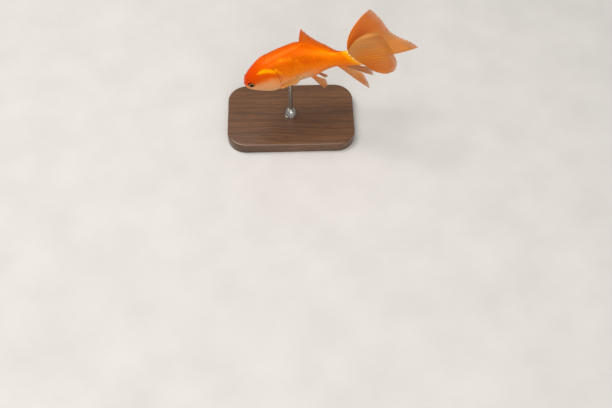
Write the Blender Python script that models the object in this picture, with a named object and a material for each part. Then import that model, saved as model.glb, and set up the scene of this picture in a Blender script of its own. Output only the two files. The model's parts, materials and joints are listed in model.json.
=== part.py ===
"""A young goldfish with a double tail, life size, held head down as it swims by a plain stand.

Metres, +Z up. The head points to -X, the tail to +X and the left flank to -Y. The origin is the
middle of the stand's underside, straight below the rod.
"""

import math

import bmesh
import bpy
import numpy as np

MM = 0.001
GAP = 0.3 * MM  # air between two pieces that meet
SLANTED_GAP = 1.2 * GAP  # the same along the spine, where the cuts slant
ROOT_BITE = 1.5 * MM  # how deep a fin starts inside the body before it is trimmed to it

# The body. Shares are of the standard length, and places along it run from snout 0 to tail root 1.
STANDARD_LENGTH = 80 * MM
ROD_SHARE = 0.42  # the place that stands over the rod
ROD_POINT = np.array((0.0, 0.0, 60 * MM))  # where the spine passes over the rod
SECTION_POWER = 0.92  # below 1 a section is fuller than an ellipse
# (place, back above the spine, belly below it, flank beside it)
STATIONS = (
    (0.00, 0.000, 0.000, 0.000),
    (0.02, 0.054, 0.056, 0.044),
    (0.06, 0.094, 0.098, 0.070),
    (0.12, 0.132, 0.144, 0.094),
    (0.20, 0.170, 0.192, 0.116),
    (0.30, 0.182, 0.203, 0.126),
    (0.42, 0.192, 0.189, 0.124),
    (0.53, 0.200, 0.184, 0.116),
    (0.62, 0.168, 0.176, 0.100),
    (0.72, 0.112, 0.122, 0.070),
    (0.82, 0.076, 0.082, 0.048),
    (0.92, 0.084, 0.078, 0.040),
    (1.10, 0.094, 0.088, 0.036),
)
# The swimming bend: (place, degrees that the spine turns to the fish's right, tailwards)
BEND = ((0.0, 21.0), (0.15, 20.0), (0.35, 14.0), (0.55, 1.0), (0.72, -16.0), (0.88, -16.0), (1.1, 2.0))
NOSE_DOWN_DEG = 14.0

# Where the body is parted
GILL_EDGE = (0.215, 0.075)  # place of the gill edge at back and belly, and its bulge at the flank
STEM_START = 0.72
TAIL_ROOT = (0.945, 0.12)  # place of the tail root at the back, and how far it slants to the belly
BODY_SIDES = 28
CAP_SHARES = (0.0, 0.55)  # the rings inside each cut face, as shares of the section
# The gill cover: a plate let into the head, its front corners rounded off by a share of the length
GILL_FRONT, GILL_HALF_HEIGHT_DEG, GILL_ROUNDING = 0.165, 46.0, 0.035
GILL_INSIDE, GILL_BED = 0.86, 0.825  # the plate's inner face and its bed's, as shares of the section

# Eyes
EYE_RADIUS = 2.5 * MM
EYE_PLACE, EYE_ANGLE_DEG, EYE_SINK = 0.052, 12.0, 1.5 * MM
JAW_BACK, JAW_TILT_DEG, JAW_DROP = 0.062, 22.0, 0.008
JAW_SPACE = (8 * MM, 14 * MM, 16 * MM)  # the cutter's reach ahead of the snout, sideways and down

# The stand
BASE_SIZE = (92 * MM, 58 * MM, 8 * MM)
BASE_CORNER, BASE_EDGE = 14 * MM, 1.2 * MM
ROD_RADIUS, COLLAR_RADIUS, COLLAR_HEIGHT = 1.6 * MM, 4.5 * MM, 5 * MM
COLLAR_SHOULDER, COLLAR_TOP = 0.4, 0.6  # where its cone starts, of the height, and ends, of the radius


def clear_scene():
    for obj in list(bpy.data.objects):
        bpy.data.objects.remove(obj, do_unlink=True)


def through(points, at):
    """A smooth curve through (place, value) points, read at each of the given places."""
    x, y = np.array(points, float).T
    slope = np.gradient(y, x)
    at = np.clip(np.asarray(at, float), x[0], x[-1])
    i = np.clip(np.searchsorted(x, at, side="right") - 1, 0, len(x) - 2)
    step = x[i + 1] - x[i]
    t = (at - x[i]) / step
    return (
        (1 + 2 * t) * (1 - t) ** 2 * y[i]
        + t * (1 - t) ** 2 * step * slope[i]
        + t * t * (3 - 2 * t) * y[i + 1]
        + t * t * (t - 1) * step * slope[i + 1]
    )


def unit(v):
    return v / np.linalg.norm(v, axis=-1, keepdims=True)


# The spine, as a fine table that every place is read from
TABLE = np.linspace(0, 1.1, 400)
TURN = np.radians(through(BEND, TABLE))
PITCH = math.radians(NOSE_DOWN_DEG)
TAILWARD = np.stack(
    [np.cos(PITCH) * np.cos(TURN), np.cos(PITCH) * np.sin(TURN), np.full_like(TURN, np.sin(PITCH))],
    axis=1,
)
WALKED = np.concatenate(
    [np.zeros((1, 3)), np.cumsum((TAILWARD[1:] + TAILWARD[:-1]) / 2 * (TABLE[1] - TABLE[0]), axis=0)]
)


def read_table(rows, place):
    return np.stack([np.interp(place, TABLE, rows[:, i]) for i in range(3)], axis=-1)


def spine(place):
    """The spine's point at a place."""
    return ROD_POINT + STANDARD_LENGTH * (read_table(WALKED, place) - read_table(WALKED, ROD_SHARE))


def frame_at(place):
    """Unit vectors at a place: towards the tail, to the fish's left and to its back."""
    tailward = unit(read_table(TAILWARD, place))
    left = unit(np.cross(tailward, (0.0, 0.0, 1.0)))
    return tailward, left, np.cross(left, tailward)


def profile(column, place):
    """A column of STATIONS at a place. It is read over the root of the place, so the snout is round."""
    return through([(math.sqrt(row[0]), row[column]) for row in STATIONS], np.sqrt(place))


def body_point(place, angle, share=1.0, grow=0.0):
    """A point of the body: angle 0 is the left flank and 90 degrees the back; share 0 is the spine."""
    place, angle = np.broadcast_arrays(np.asarray(place, float), np.asarray(angle, float))
    _, left, up = frame_at(place)
    across, over = np.cos(angle), np.sin(angle)
    across = np.sign(across) * np.abs(across) ** SECTION_POWER
    over = np.sign(over) * np.abs(over) ** SECTION_POWER
    height = np.where(over > 0, profile(1, place), profile(2, place)) * STANDARD_LENGTH + grow
    width = profile(3, place) * STANDARD_LENGTH + grow
    share = np.asarray(share, float)
    return (
        spine(place)
        + (share * across * width)[..., None] * left
        + (share * over * height)[..., None] * up
    )


def gill_edge(angle):
    back, bulge = GILL_EDGE
    return back + bulge * np.abs(np.cos(angle)) ** 1.5


def tail_root(angle):
    back, slant = TAIL_ROOT
    return back + slant * (1 - np.sin(angle)) / 2


def always(place):
    return lambda angle: np.full_like(np.asarray(angle, float), place)


def material(name, colour, roughness, metallic=0.0):
    made = bpy.data.materials.new(name)
    made.use_nodes = True
    shader = made.node_tree.nodes["Principled BSDF"]
    shader.inputs["Base Color"].default_value = (*colour, 1)
    shader.inputs["Roughness"].default_value = roughness
    shader.inputs["Metallic"].default_value = metallic
    return made


def add_object(name, points, faces, finish, smooth_deg=50):
    mesh = bpy.data.meshes.new(name)
    mesh.from_pydata([tuple(p) for p in points], [], faces)
    made = bpy.data.objects.new(name, mesh)
    bpy.context.scene.collection.objects.link(made)
    bm = bmesh.new()
    bm.from_mesh(mesh)
    bmesh.ops.remove_doubles(bm, verts=bm.verts, dist=1e-7)
    bmesh.ops.recalc_face_normals(bm, faces=bm.faces)
    bmesh.ops.triangulate(bm, faces=bm.faces)  # the fins' faces aren't flat, and a cut needs flat ones
    bm.to_mesh(mesh)
    bm.free()
    mesh.shade_smooth()
    mesh.set_sharp_from_angle(angle=math.radians(smooth_deg))
    if finish:
        mesh.materials.append(finish)
    return made


def boolean(target, cutter, operation="DIFFERENCE"):
    cut = target.modifiers.new(operation.title(), "BOOLEAN")
    cut.operation = operation
    cut.object = cutter
    cutter.hide_render = True
    cutter.display_type = "WIRE"


def tube_faces(rings, sides):
    """Quads between neighbouring rings of points."""
    return [
        (r * sides + k, r * sides + (k + 1) % sides, (r + 1) * sides + (k + 1) % sides, (r + 1) * sides + k)
        for r in range(rings - 1)
        for k in range(sides)
    ]


def body_length(name, start, end, rings, finish, grow=0.0):
    """One closed length of the body between two curved cuts, which start and end give by angle."""
    angles = np.arange(BODY_SIDES) * 2 * math.pi / BODY_SIDES
    middle = angles * 0 + math.radians(45)  # the spine's own cut is that of the upper flank
    loops = []
    for share in CAP_SHARES:
        place = start(middle) + (start(angles) - start(middle)) * share**2
        loops.append(body_point(place, angles, share, grow))
    for t in np.linspace(0, 1, rings):
        place = start(angles) + (end(angles) - start(angles)) * t
        loops.append(body_point(place, angles, 1.0, grow))
    for share in CAP_SHARES[::-1]:
        place = end(middle) + (end(angles) - end(middle)) * share**2
        loops.append(body_point(place, angles, share, grow))
    points = np.concatenate(loops)
    return add_object(name, points, tube_faces(len(loops), BODY_SIDES), finish)


def web(name, rays, root_thickness, rim_thickness, finish):
    """A fin: a closed sheet through its rays, each a row of points from root to tip."""
    grid = np.array(rays)
    count, length = grid.shape[:2]
    along = np.gradient(grid, axis=1)
    over = np.gradient(grid, axis=0)
    normal = unit(np.cross(along, over))
    half = np.linspace(root_thickness, rim_thickness, length)[None, :, None] / 2
    points = np.concatenate([(grid + normal * half).reshape(-1, 3), (grid - normal * half).reshape(-1, 3)])
    back = count * length
    faces = []
    for i in range(count - 1):
        for j in range(length - 1):
            a, b = i * length + j, (i + 1) * length + j
            faces.append((a, b, b + 1, a + 1))
            faces.append((back + a, back + a + 1, back + b + 1, back + b))
    edge = [i * length for i in range(count)]
    edge += [(count - 1) * length + j for j in range(1, length)]
    edge += [i * length + length - 1 for i in range(count - 2, -1, -1)]
    edge += list(range(length - 2, 0, -1))
    faces += [(a, b, back + b, back + a) for a, b in zip(edge, edge[1:] + edge[:1])]
    return add_object(name, points, faces, finish, smooth_deg=35)


def ray(root, frame, rise, splay, length, curl=0.0, sway=0.0, points=7):
    """A fin ray's points. Rise is up from the tailward line and splay to the left, in degrees at the
    root; curl and sway are what is added to them by the tip. It starts a little inside the body."""
    tailward, left, up = frame
    steps = np.linspace(0, 1, points)
    fine = np.linspace(0, 1, 4 * points)
    lift = np.radians(rise + curl * fine)
    out = np.radians(splay + sway * fine)
    ahead = (
        (np.cos(lift) * np.cos(out))[:, None] * tailward
        + (np.cos(lift) * np.sin(out))[:, None] * left
        + np.sin(lift)[:, None] * up
    )
    walked = np.concatenate([np.zeros((1, 3)), np.cumsum((ahead[1:] + ahead[:-1]) / 2, axis=0)])
    walked *= (length + ROOT_BITE) / (len(fine) - 1)
    path = np.stack([np.interp(steps, fine, walked[:, i]) for i in range(3)], axis=1)
    return root - ROOT_BITE * ahead[0] + path


# ---- Fins. A row is (share across the fin, rise, splay, length in mm, curl, sway), as ray() reads ----
DORSAL_BASE = (0.55, 0.84)
DORSAL_RAYS = (
    (0.00, 77, 0, 14.2, -12, 0),
    (0.08, 66, 0, 10.4, -16, 0),
    (0.22, 48, 0, 7.8, -16, 0),
    (0.55, 34, 0, 6.0, -14, 0),
    (1.00, 20, 0, 4.2, -8, 0),
)
PECTORAL_BASE = ((0.282, -28.0), (0.304, -48.0))
PECTORAL_RAYS = (
    (0.0, 26, 12, 16.0, -4, -12),
    (0.5, 14, 11, 14.5, -4, -10),
    (1.0, -4, 11, 9.0, -2, -8),
)
PELVIC_BASE = ((0.575, -66.0), (0.605, -78.0))
PELVIC_RAYS = (
    (0.0, -68, 22, 14.0, 14, -16),
    (0.5, -58, 16, 12.5, 12, -14),
    (1.0, -40, 10, 8.0, 8, -8),
)
ANAL_BASE = ((0.845, -68.0), (0.915, -68.0))
ANAL_RAYS = (
    (0.0, -42, 12, 26.0, 10, 4),
    (0.4, -34, 12, 21.0, 8, 4),
    (1.0, -26, 10, 12.0, 6, 2),
)
# The two halves of the tail, which is beating to the fish's right
TAIL_LEFT_RAYS = (
    (0.00, 74, 8, 33, -64, -6),
    (0.22, 52, 12, 32, -36, -10),
    (0.50, 12, 12, 28, -8, -16),
    (0.78, -28, 16, 25.5, 6, -26),
    (1.00, -62, 34, 20, 44, -56),
)
TAIL_RIGHT_RAYS = (
    (0.00, 96, -36, 36, -97, -8),
    (0.22, 52, -38, 31, -42, -8),
    (0.50, 10, -40, 30, -14, -8),
    (0.78, -12, -36, 37, -6, -8),
    (1.00, -28, -28, 50, 2, -14),
)
TAIL_ROOT_ANGLES = (74.0, -52.0)  # where the outer rays of each half leave the stem's rim
TAIL_ROOT_SHARE = 0.72  # how far out from the spine that is
FIN_ROOT, FIN_RIM = 1.2 * MM, 0.6 * MM  # thickness


def fin_ray(rows, share, root, frame, side=1):
    """The ray at a share of a fin whose table is written for the left side, or its mirror image."""
    rise, splay, length, curl, sway = (
        float(through([(row[0], row[k]) for row in rows], share)) for k in range(1, 6)
    )
    return ray(root, frame, rise, side * splay, length * MM, curl, side * sway)


def dorsal_fin(finish, clearance):
    rays = []
    for share in np.linspace(0, 1, 14):
        place = DORSAL_BASE[0] + (DORSAL_BASE[1] - DORSAL_BASE[0]) * share
        root = body_point(place, math.pi / 2)
        rays.append(fin_ray(DORSAL_RAYS, share, root, frame_at(place)))
    boolean(web("dorsal_fin", rays, FIN_ROOT, FIN_RIM, finish), clearance)


def paired_fin(name, base, rows, count, side, finish, clearance):
    """A fin on the lower flank. Side is 1 on the left and -1 on the right."""
    (first_place, first_angle), (last_place, last_angle) = base
    rays = []
    for share in np.linspace(0, 1, count):
        place = first_place + (last_place - first_place) * share
        angle = math.radians(first_angle + (last_angle - first_angle) * share)
        root = body_point(place, angle if side > 0 else math.pi - angle)
        rays.append(fin_ray(rows, share, root, frame_at(place), side))
    boolean(web(name, rays, FIN_ROOT, FIN_RIM, finish), clearance)


def tail_half(name, rows, side, finish, clearance):
    rays = []
    for share in np.linspace(0, 1, 20):
        upper, lower = TAIL_ROOT_ANGLES
        angle = math.radians(upper + (lower - upper) * share)
        place = float(tail_root(angle))
        root = body_point(place, angle if side > 0 else math.pi - angle, TAIL_ROOT_SHARE)
        rays.append(fin_ray(rows, share, root, frame_at(place)))
    boolean(web(name, rays, FIN_ROOT, FIN_RIM, finish), clearance)


# ---- Head ----


def ball(name, centre, radius, segments, finish=None):
    points, faces = [], []
    rings = segments // 2
    for r in range(rings + 1):
        polar = math.pi * r / rings
        for k in range(segments):
            turn = 2 * math.pi * k / segments
            direction = (math.sin(polar) * math.cos(turn), math.sin(polar) * math.sin(turn), math.cos(polar))
            points.append(centre + radius * np.array(direction))
    faces = tube_faces(rings + 1, segments)
    return add_object(name, points, faces, finish)


def block(name, corners, finish=None):
    """A solid from two facing grids of points, the first outside, each rows by columns."""
    outer, inner = (np.array(side) for side in corners)
    rows, columns = outer.shape[:2]
    back = rows * columns
    faces = []
    for i in range(rows - 1):
        for j in range(columns - 1):
            a, b = i * columns + j, (i + 1) * columns + j
            faces.append((a, b, b + 1, a + 1))
            faces.append((back + a, back + a + 1, back + b + 1, back + b))
    edge = list(range(columns))
    edge += [r * columns + columns - 1 for r in range(1, rows)]
    edge += [(rows - 1) * columns + c for c in range(columns - 2, -1, -1)]
    edge += [r * columns for r in range(rows - 2, 0, -1)]
    faces += [(a, b, back + b, back + a) for a, b in zip(edge, edge[1:] + edge[:1])]
    return add_object(name, np.concatenate([outer.reshape(-1, 3), inner.reshape(-1, 3)]), faces, finish)


def gill_plate(name, side, inner, outer, widen, rear, finish=None):
    """The gill cover's shape between two shares of the section; its cutter is the same, widened."""
    flank_radius = profile(3, GILL_FRONT) * STANDARD_LENGTH
    half = math.radians(GILL_HALF_HEIGHT_DEG) + widen / flank_radius
    turns = np.linspace(-half, half, 11) * side
    if side < 0:
        turns = turns + math.pi
    grids = []
    for share in (outer, inner):
        grid = []
        for angle in turns:
            low = GILL_FRONT - widen / STANDARD_LENGTH
            # the front edge rounds off towards the plate's top and bottom
            low += GILL_ROUNDING * (abs(math.sin(angle)) / math.sin(half)) ** 3
            high = float(gill_edge(angle)) + rear / STANDARD_LENGTH
            grid.append([body_point(p, angle, share) for p in np.linspace(low, high, 6)])
        grids.append(grid)
    return block(name, grids, finish)


def jaw_box(name, grow):
    """What lies below the mouth's line, from in front of the snout to the jaw's hinge."""
    tailward, left, up = frame_at(0.0)
    tilt = math.radians(JAW_TILT_DEG)
    ahead = math.cos(tilt) * tailward - math.sin(tilt) * up
    over = math.sin(tilt) * tailward + math.cos(tilt) * up
    start = spine(0.0) - JAW_DROP * STANDARD_LENGTH * over
    reach, half, low = JAW_SPACE
    rear = JAW_BACK * STANDARD_LENGTH + grow
    corners = [
        [[start + a * ahead + s * left + z * over for s in (half, -half)] for a in (-reach, rear)]
        for z in (grow, -low)
    ]
    return block(name, corners)


# ---- Stand ----


def rounded_plate(name, size, corner, edge, finish):
    """A flat plate with round corners and a rounded upper edge, standing on the floor."""
    loops = []
    for z, inset in [(0.0, 0.0)] + [
        (size[2] - edge + edge * math.sin(turn), edge * (1 - math.cos(turn)))
        for turn in np.linspace(0, math.pi / 2, 4)
    ]:
        loop = []
        for quarter in range(4):
            sx, sy = ((1, 1), (-1, 1), (-1, -1), (1, -1))[quarter]
            for step in range(7):
                turn = math.pi / 2 * (quarter + step / 6)
                radius = corner - inset
                loop.append(
                    (
                        sx * (size[0] / 2 - corner) + radius * math.cos(turn),
                        sy * (size[1] / 2 - corner) + radius * math.sin(turn),
                        z,
                    )
                )
        loops.append(loop)
    sides = len(loops[0])
    faces = tube_faces(len(loops), sides)
    faces.append(tuple(range(sides)))
    faces.append(tuple((len(loops) - 1) * sides + k for k in range(sides)))
    return add_object(name, [p for loop in loops for p in loop], faces, finish, smooth_deg=30)


def turned(name, profile_points, sides, finish):
    """A solid turned about Z from (radius, height) points, its ends closed on the axis."""
    points = [
        (r * math.cos(2 * math.pi * k / sides), r * math.sin(2 * math.pi * k / sides), z)
        for r, z in profile_points
        for k in range(sides)
    ]
    faces = tube_faces(len(profile_points), sides)
    faces.append(tuple(range(sides)))
    faces.append(tuple((len(profile_points) - 1) * sides + k for k in range(sides)))
    return add_object(name, points, faces, finish, smooth_deg=30)


# ---- The whole model ----


def build():
    clear_scene()
    skin = material("orange_skin", (0.82, 0.15, 0.006), 0.32)
    cheek = material("golden_skin", (0.86, 0.24, 0.012), 0.28)
    fin = material("fin_web", (0.72, 0.26, 0.045), 0.35)
    eye = material("eye", (0.02, 0.012, 0.008), 0.08)
    wood = material("dark_wood", (0.09, 0.045, 0.022), 0.4)
    steel = material("steel", (0.62, 0.62, 0.62), 0.3, 1.0)

    gap = SLANTED_GAP / STANDARD_LENGTH
    # what the fins and the rod are trimmed to; it runs past the tail root, where the fins lean forward
    clearance = body_length(
        "body_clearance", always(0.0), lambda a: tail_root(a) + 2.5 * gap, 90, None, grow=GAP
    )

    head = body_length("head", always(0.0), gill_edge, 12, skin)
    jaw = body_length("lower_jaw", always(0.0), gill_edge, 12, skin)
    boolean(jaw, jaw_box("jaw_space", 0.0), "INTERSECT")
    boolean(head, jaw_box("jaw_clearance", GAP))
    for side, word in ((1, "left"), (-1, "right")):
        gill_plate(f"gill_cover_{word}", side, GILL_INSIDE, 1.0, 0.0, -GAP, cheek)
        boolean(head, gill_plate(f"gill_clearance_{word}", side, GILL_BED, 1.2, GAP, 2 * MM))
        turn = math.radians(EYE_ANGLE_DEG)
        turn = turn if side > 0 else math.pi - turn
        centre = body_point(EYE_PLACE, turn, 1.0, -EYE_SINK)
        ball(f"eye_{word}", centre, EYE_RADIUS, 18, eye)
        socket = ball(f"eye_clearance_{word}", centre, EYE_RADIUS + GAP, 22)
        boolean(head, socket)
        boolean(jaw, socket)

    body_length("trunk", lambda a: gill_edge(a) + gap, always(STEM_START - gap), 15, skin)
    body_length("tail_stem", always(STEM_START), tail_root, 8, skin)

    dorsal_fin(fin, clearance)
    for side, word in ((1, "left"), (-1, "right")):
        paired_fin(f"pectoral_fin_{word}", PECTORAL_BASE, PECTORAL_RAYS, 11, side, fin, clearance)
        paired_fin(f"pelvic_fin_{word}", PELVIC_BASE, PELVIC_RAYS, 9, side, fin, clearance)
        paired_fin(f"anal_fin_{word}", ANAL_BASE, ANAL_RAYS, 8, side, fin, clearance)
    tail_half("tail_fin_left", TAIL_LEFT_RAYS, 1, fin, clearance)
    tail_half("tail_fin_right", TAIL_RIGHT_RAYS, -1, fin, clearance)

    rounded_plate("stand_base", BASE_SIZE, BASE_CORNER, BASE_EDGE, wood)
    floor = BASE_SIZE[2] + GAP
    turned(
        "stand_collar",
        [
            (COLLAR_RADIUS, floor),
            (COLLAR_RADIUS, floor + COLLAR_SHOULDER * COLLAR_HEIGHT),
            (COLLAR_TOP * COLLAR_RADIUS, floor + COLLAR_HEIGHT),
        ],
        24,
        steel,
    )
    rod = turned(
        "stand_rod",
        [(ROD_RADIUS, floor + COLLAR_HEIGHT + GAP), (ROD_RADIUS, ROD_POINT[2])],
        16,
        steel,
    )
    boolean(rod, clearance)


build()
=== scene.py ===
import json
import math

import bmesh
import bpy
import numpy as np
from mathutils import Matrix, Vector

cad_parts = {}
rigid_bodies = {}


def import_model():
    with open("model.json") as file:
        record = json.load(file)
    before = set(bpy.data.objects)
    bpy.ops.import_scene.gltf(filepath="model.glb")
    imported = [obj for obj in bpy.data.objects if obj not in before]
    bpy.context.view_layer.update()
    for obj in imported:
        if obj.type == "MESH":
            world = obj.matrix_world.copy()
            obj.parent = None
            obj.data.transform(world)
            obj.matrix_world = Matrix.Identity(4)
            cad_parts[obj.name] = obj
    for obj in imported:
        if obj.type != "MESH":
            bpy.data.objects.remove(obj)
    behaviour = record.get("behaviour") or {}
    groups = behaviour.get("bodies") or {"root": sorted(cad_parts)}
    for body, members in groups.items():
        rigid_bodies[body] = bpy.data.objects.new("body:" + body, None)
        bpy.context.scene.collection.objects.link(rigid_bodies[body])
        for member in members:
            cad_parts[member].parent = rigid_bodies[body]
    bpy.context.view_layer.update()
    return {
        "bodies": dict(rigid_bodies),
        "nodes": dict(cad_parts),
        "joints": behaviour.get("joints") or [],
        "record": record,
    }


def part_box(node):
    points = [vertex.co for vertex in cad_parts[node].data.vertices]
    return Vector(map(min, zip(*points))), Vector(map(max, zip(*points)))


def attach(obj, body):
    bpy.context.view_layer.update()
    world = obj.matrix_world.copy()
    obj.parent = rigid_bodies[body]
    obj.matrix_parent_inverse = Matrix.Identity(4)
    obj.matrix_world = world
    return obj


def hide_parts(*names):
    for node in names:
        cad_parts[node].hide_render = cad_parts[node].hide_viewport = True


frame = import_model()
MM = 0.001

# ---- The base ----
# A slab of walnut lying on the floor, sawn with the grain along it, its corners and upper edge
# rounded over with a router, then sanded and wiped with satin varnish.
BASE_CORNER = 14 * MM
BASE_ROUND = 1.2 * MM  # the rounding of the upper edge
BASE_EASE = 0.4 * MM  # the small chamfer that lifts the lower edge off the floor
CORNER_STEPS, EDGE_STEPS = 14, 8


def linear(colour):
    """An sRGB hex colour as linear red, green, blue and alpha."""
    parts = [int(colour[i : i + 2], 16) / 255 for i in (1, 3, 5)]
    return (*[p / 12.92 if p <= 0.04045 else ((p + 0.055) / 1.055) ** 2.4 for p in parts], 1.0)


def output(source):
    """A socket as it is, or a node's first output."""
    return next(s for s in source.outputs if s.enabled) if isinstance(source, bpy.types.Node) else source


def node(tree, kind, inputs=None, stops=None, **settings):
    """Add a node with its settings. An input's value is a constant, a socket, or a node whose first
    output is meant; a hex colour is turned linear. Stops are a ramp's (position, colour) pairs."""
    made = tree.nodes.new(kind)
    for name, value in settings.items():
        setattr(made, name, value)
    if stops:
        ramp = made.color_ramp.elements
        while len(ramp) < len(stops):
            ramp.new(1.0)
        for element, (position, colour) in zip(ramp, stops):
            element.position = position
            element.color = linear(colour) if isinstance(colour, str) else (colour, colour, colour, 1)
    for key, value in (inputs or {}).items():
        if isinstance(key, int):
            socket = made.inputs[key]
        else:
            socket = next(s for s in made.inputs if s.enabled and s.name == key)
        value = output(value)
        if isinstance(value, bpy.types.NodeSocket):
            tree.links.new(value, socket)
        else:
            socket.default_value = linear(value) if isinstance(value, str) and value[0] == "#" else value
    return made


def finish(name, **values):
    """A new material with a Principled shader, and its sockets' constants, such as ior=1.5."""
    made = bpy.data.materials.new(name)
    made.use_nodes = True
    shader = made.node_tree.nodes["Principled BSDF"]
    for key, value in values.items():
        label = key.replace("_", " ").title().replace("Ior", "IOR")
        shader.inputs[label].default_value = linear(value) if isinstance(value, str) else value
    return made, made.node_tree


def wire(material, **sources):
    """Links to a material's shader, by its sockets' names, such as normal=relief."""
    tree = material.node_tree
    for key, source in sources.items():
        socket = tree.nodes["Principled BSDF"].inputs[key.replace("_", " ").title()]
        tree.links.new(output(source), socket)
    return material


def show(name, data):
    """An object that holds the data, linked to the scene."""
    made = bpy.data.objects.new(name, data)
    bpy.context.scene.collection.objects.link(made)
    return made


def shape(name, points, faces, values=None):
    """A mesh object at the origin from points and faces. Values are numbers or vectors that its
    points keep, by name, for materials and nodes to read."""
    mesh = bpy.data.meshes.new(name)
    mesh.from_pydata(np.asarray(points).tolist(), [], faces)
    for key, numbers in (values or {}).items():
        numbers = np.ascontiguousarray(numbers, np.float32).ravel()
        if len(numbers) == len(mesh.vertices):
            mesh.attributes.new(key, "FLOAT", "POINT").data.foreach_set("value", numbers)
        else:
            mesh.attributes.new(key, "FLOAT_VECTOR", "POINT").data.foreach_set("vector", numbers)
    return show(name, mesh)


def solid(name, points, faces, material, smooth_deg=None, values=None):
    """A finished shape: its doubles merged, its normals outwards, smooth but for edges sharper than
    the angle, and in its material."""
    made = shape(name, points, faces, values)
    mesh = made.data
    bm = bmesh.new()
    bm.from_mesh(mesh)
    bmesh.ops.remove_doubles(bm, verts=bm.verts, dist=1e-7)
    bmesh.ops.recalc_face_normals(bm, faces=bm.faces)
    bm.to_mesh(mesh)
    bm.free()
    mesh.shade_smooth()
    if smooth_deg:
        mesh.set_sharp_from_angle(angle=math.radians(smooth_deg))
    mesh.materials.append(material)
    return made


def tube(rings, sides):
    """Quads between neighbouring rings of points."""
    return [
        (r * sides + k, r * sides + (k + 1) % sides, (r + 1) * sides + (k + 1) % sides, (r + 1) * sides + k)
        for r in range(rings - 1)
        for k in range(sides)
    ]


def capped(rings, sides):
    """The same with a face over each end."""
    ends = [tuple(range(sides)), tuple((rings - 1) * sides + k for k in range(sides))]
    return tube(rings, sides) + ends


def dress(piece, slot, *nodes):
    """Hand a piece over: it rides on the one body, and shows in place of its solids if it has any."""
    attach(piece, "root")
    if nodes:
        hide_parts(*nodes)


def walnut():
    """Black walnut under satin varnish: dark brown bands along the board, fine open pores, a soft sheen."""
    made, tree = finish("walnut_satin_varnish", ior=1.5, coat_weight=0.35, coat_roughness=0.22)
    place = node(tree, "ShaderNodeTexCoord").outputs["Object"]
    # the annual rings, about 3 mm apart where the saw has cut them flat, drawn out along the board
    drawn = node(tree, "ShaderNodeMapping", {"Vector": place, "Scale": (0.16, 1, 0.7)})
    wander = node(tree, "ShaderNodeTexNoise", {"Vector": drawn, "Scale": 60, "Detail": 4, "Roughness": 0.55})
    rings = node(
        tree,
        "ShaderNodeTexWave",
        {"Vector": drawn, "Scale": 52, "Distortion": 9, "Detail": 3, "Detail Scale": 1.4},
        wave_type="BANDS",
        bands_direction="Y",
    )
    # the pores, 0.3 mm wide and up to 6 mm long
    thin = node(tree, "ShaderNodeMapping", {"Vector": place, "Scale": (0.05, 1, 1)})
    pores = node(tree, "ShaderNodeTexNoise", {"Vector": thin, "Scale": 2600, "Detail": 2, "Roughness": 0.6})
    bands = node(
        tree,
        "ShaderNodeValToRGB",
        {"Fac": rings},
        stops=[(0.0, "#4a2f1d"), (0.45, "#593a23"), (0.8, "#6b482d"), (1.0, "#52341f")],
    )
    cloud = node(tree, "ShaderNodeValToRGB", {"Fac": wander}, stops=[(0.3, "#4a2f1d"), (0.7, "#76502f")])
    body = node(tree, "ShaderNodeMix", {"Factor": 0.4, "A": bands, "B": cloud}, data_type="RGBA")
    open_pore = node(tree, "ShaderNodeValToRGB", {"Fac": pores}, stops=[(0.3, 0.35), (0.46, 1.0)])
    dark = node(tree, "ShaderNodeMix", {"Factor": open_pore, "A": "#22130b", "B": body}, data_type="RGBA")
    dull = node(tree, "ShaderNodeMapRange", {"Value": pores, "To Min": 0.44, "To Max": 0.3})
    relief = node(tree, "ShaderNodeBump", {"Strength": 0.25, "Distance": 0.05 * MM, "Height": open_pore})
    return wire(made, base_color=dark, roughness=dull, normal=relief)


def base_slab():
    """The slab, built up in rings from its eased lower edge to its rounded upper one."""
    low, high = (np.array(corner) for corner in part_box("stand_base"))
    half, middle = (high - low) / 2, (high + low) / 2
    rounding = [
        (high[2] - BASE_ROUND * (1 - math.sin(turn)), BASE_ROUND * (1 - math.cos(turn)))
        for turn in np.linspace(0, math.pi / 2, EDGE_STEPS)
    ]
    loops = []
    for z, inset in [(low[2], BASE_EASE), (low[2] + BASE_EASE, 0.0)] + rounding:
        for quarter, (sx, sy) in enumerate(((1, 1), (-1, 1), (-1, -1), (1, -1))):
            for turn in math.pi / 2 * (quarter + np.linspace(0, 1, CORNER_STEPS)):
                x = middle[0] + sx * (half[0] - BASE_CORNER) + (BASE_CORNER - inset) * math.cos(turn)
                y = middle[1] + sy * (half[1] - BASE_CORNER) + (BASE_CORNER - inset) * math.sin(turn)
                loops.append((x, y, z))
    faces = capped(EDGE_STEPS + 2, 4 * CORNER_STEPS)
    return solid("stand_base_walnut", loops, faces, walnut(), smooth_deg=30)


dress(base_slab(), "stand_wood", "stand_base")

# ---- The collar and the rod ----
# Stainless steel. The collar is turned on a lathe with a groove above its foot, and screwed to the
# base from below; the rod is ground bar, pressed into it and glued into a hole in the belly.
ROD_RADIUS = 1.6 * MM
COLLAR_RADIUS = 4.5 * MM
COLLAR_EDGE = 0.25 * MM  # how much its edges are broken
COLLAR_WAIST, COLLAR_TOP = 0.94, 0.6  # in shares of the radius
# Where the groove's upper and lower walls begin and end and where the cone starts, in shares of the height
COLLAR_GROOVE, CONE_FOOT = (0.14, 0.17, 0.22, 0.25), 0.4
BASE_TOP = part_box("stand_base")[1][2]
TURNED_SIDES = 72


def turned(name, profile_points, material):
    """A solid turned about the Z axis from (radius, height) points, its ends closed."""
    turns = np.arange(TURNED_SIDES) * 2 * math.pi / TURNED_SIDES
    points = [(r * math.cos(t), r * math.sin(t), z) for r, z in profile_points for t in turns]
    return solid(name, points, capped(len(profile_points), TURNED_SIDES), material, smooth_deg=35)


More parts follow.
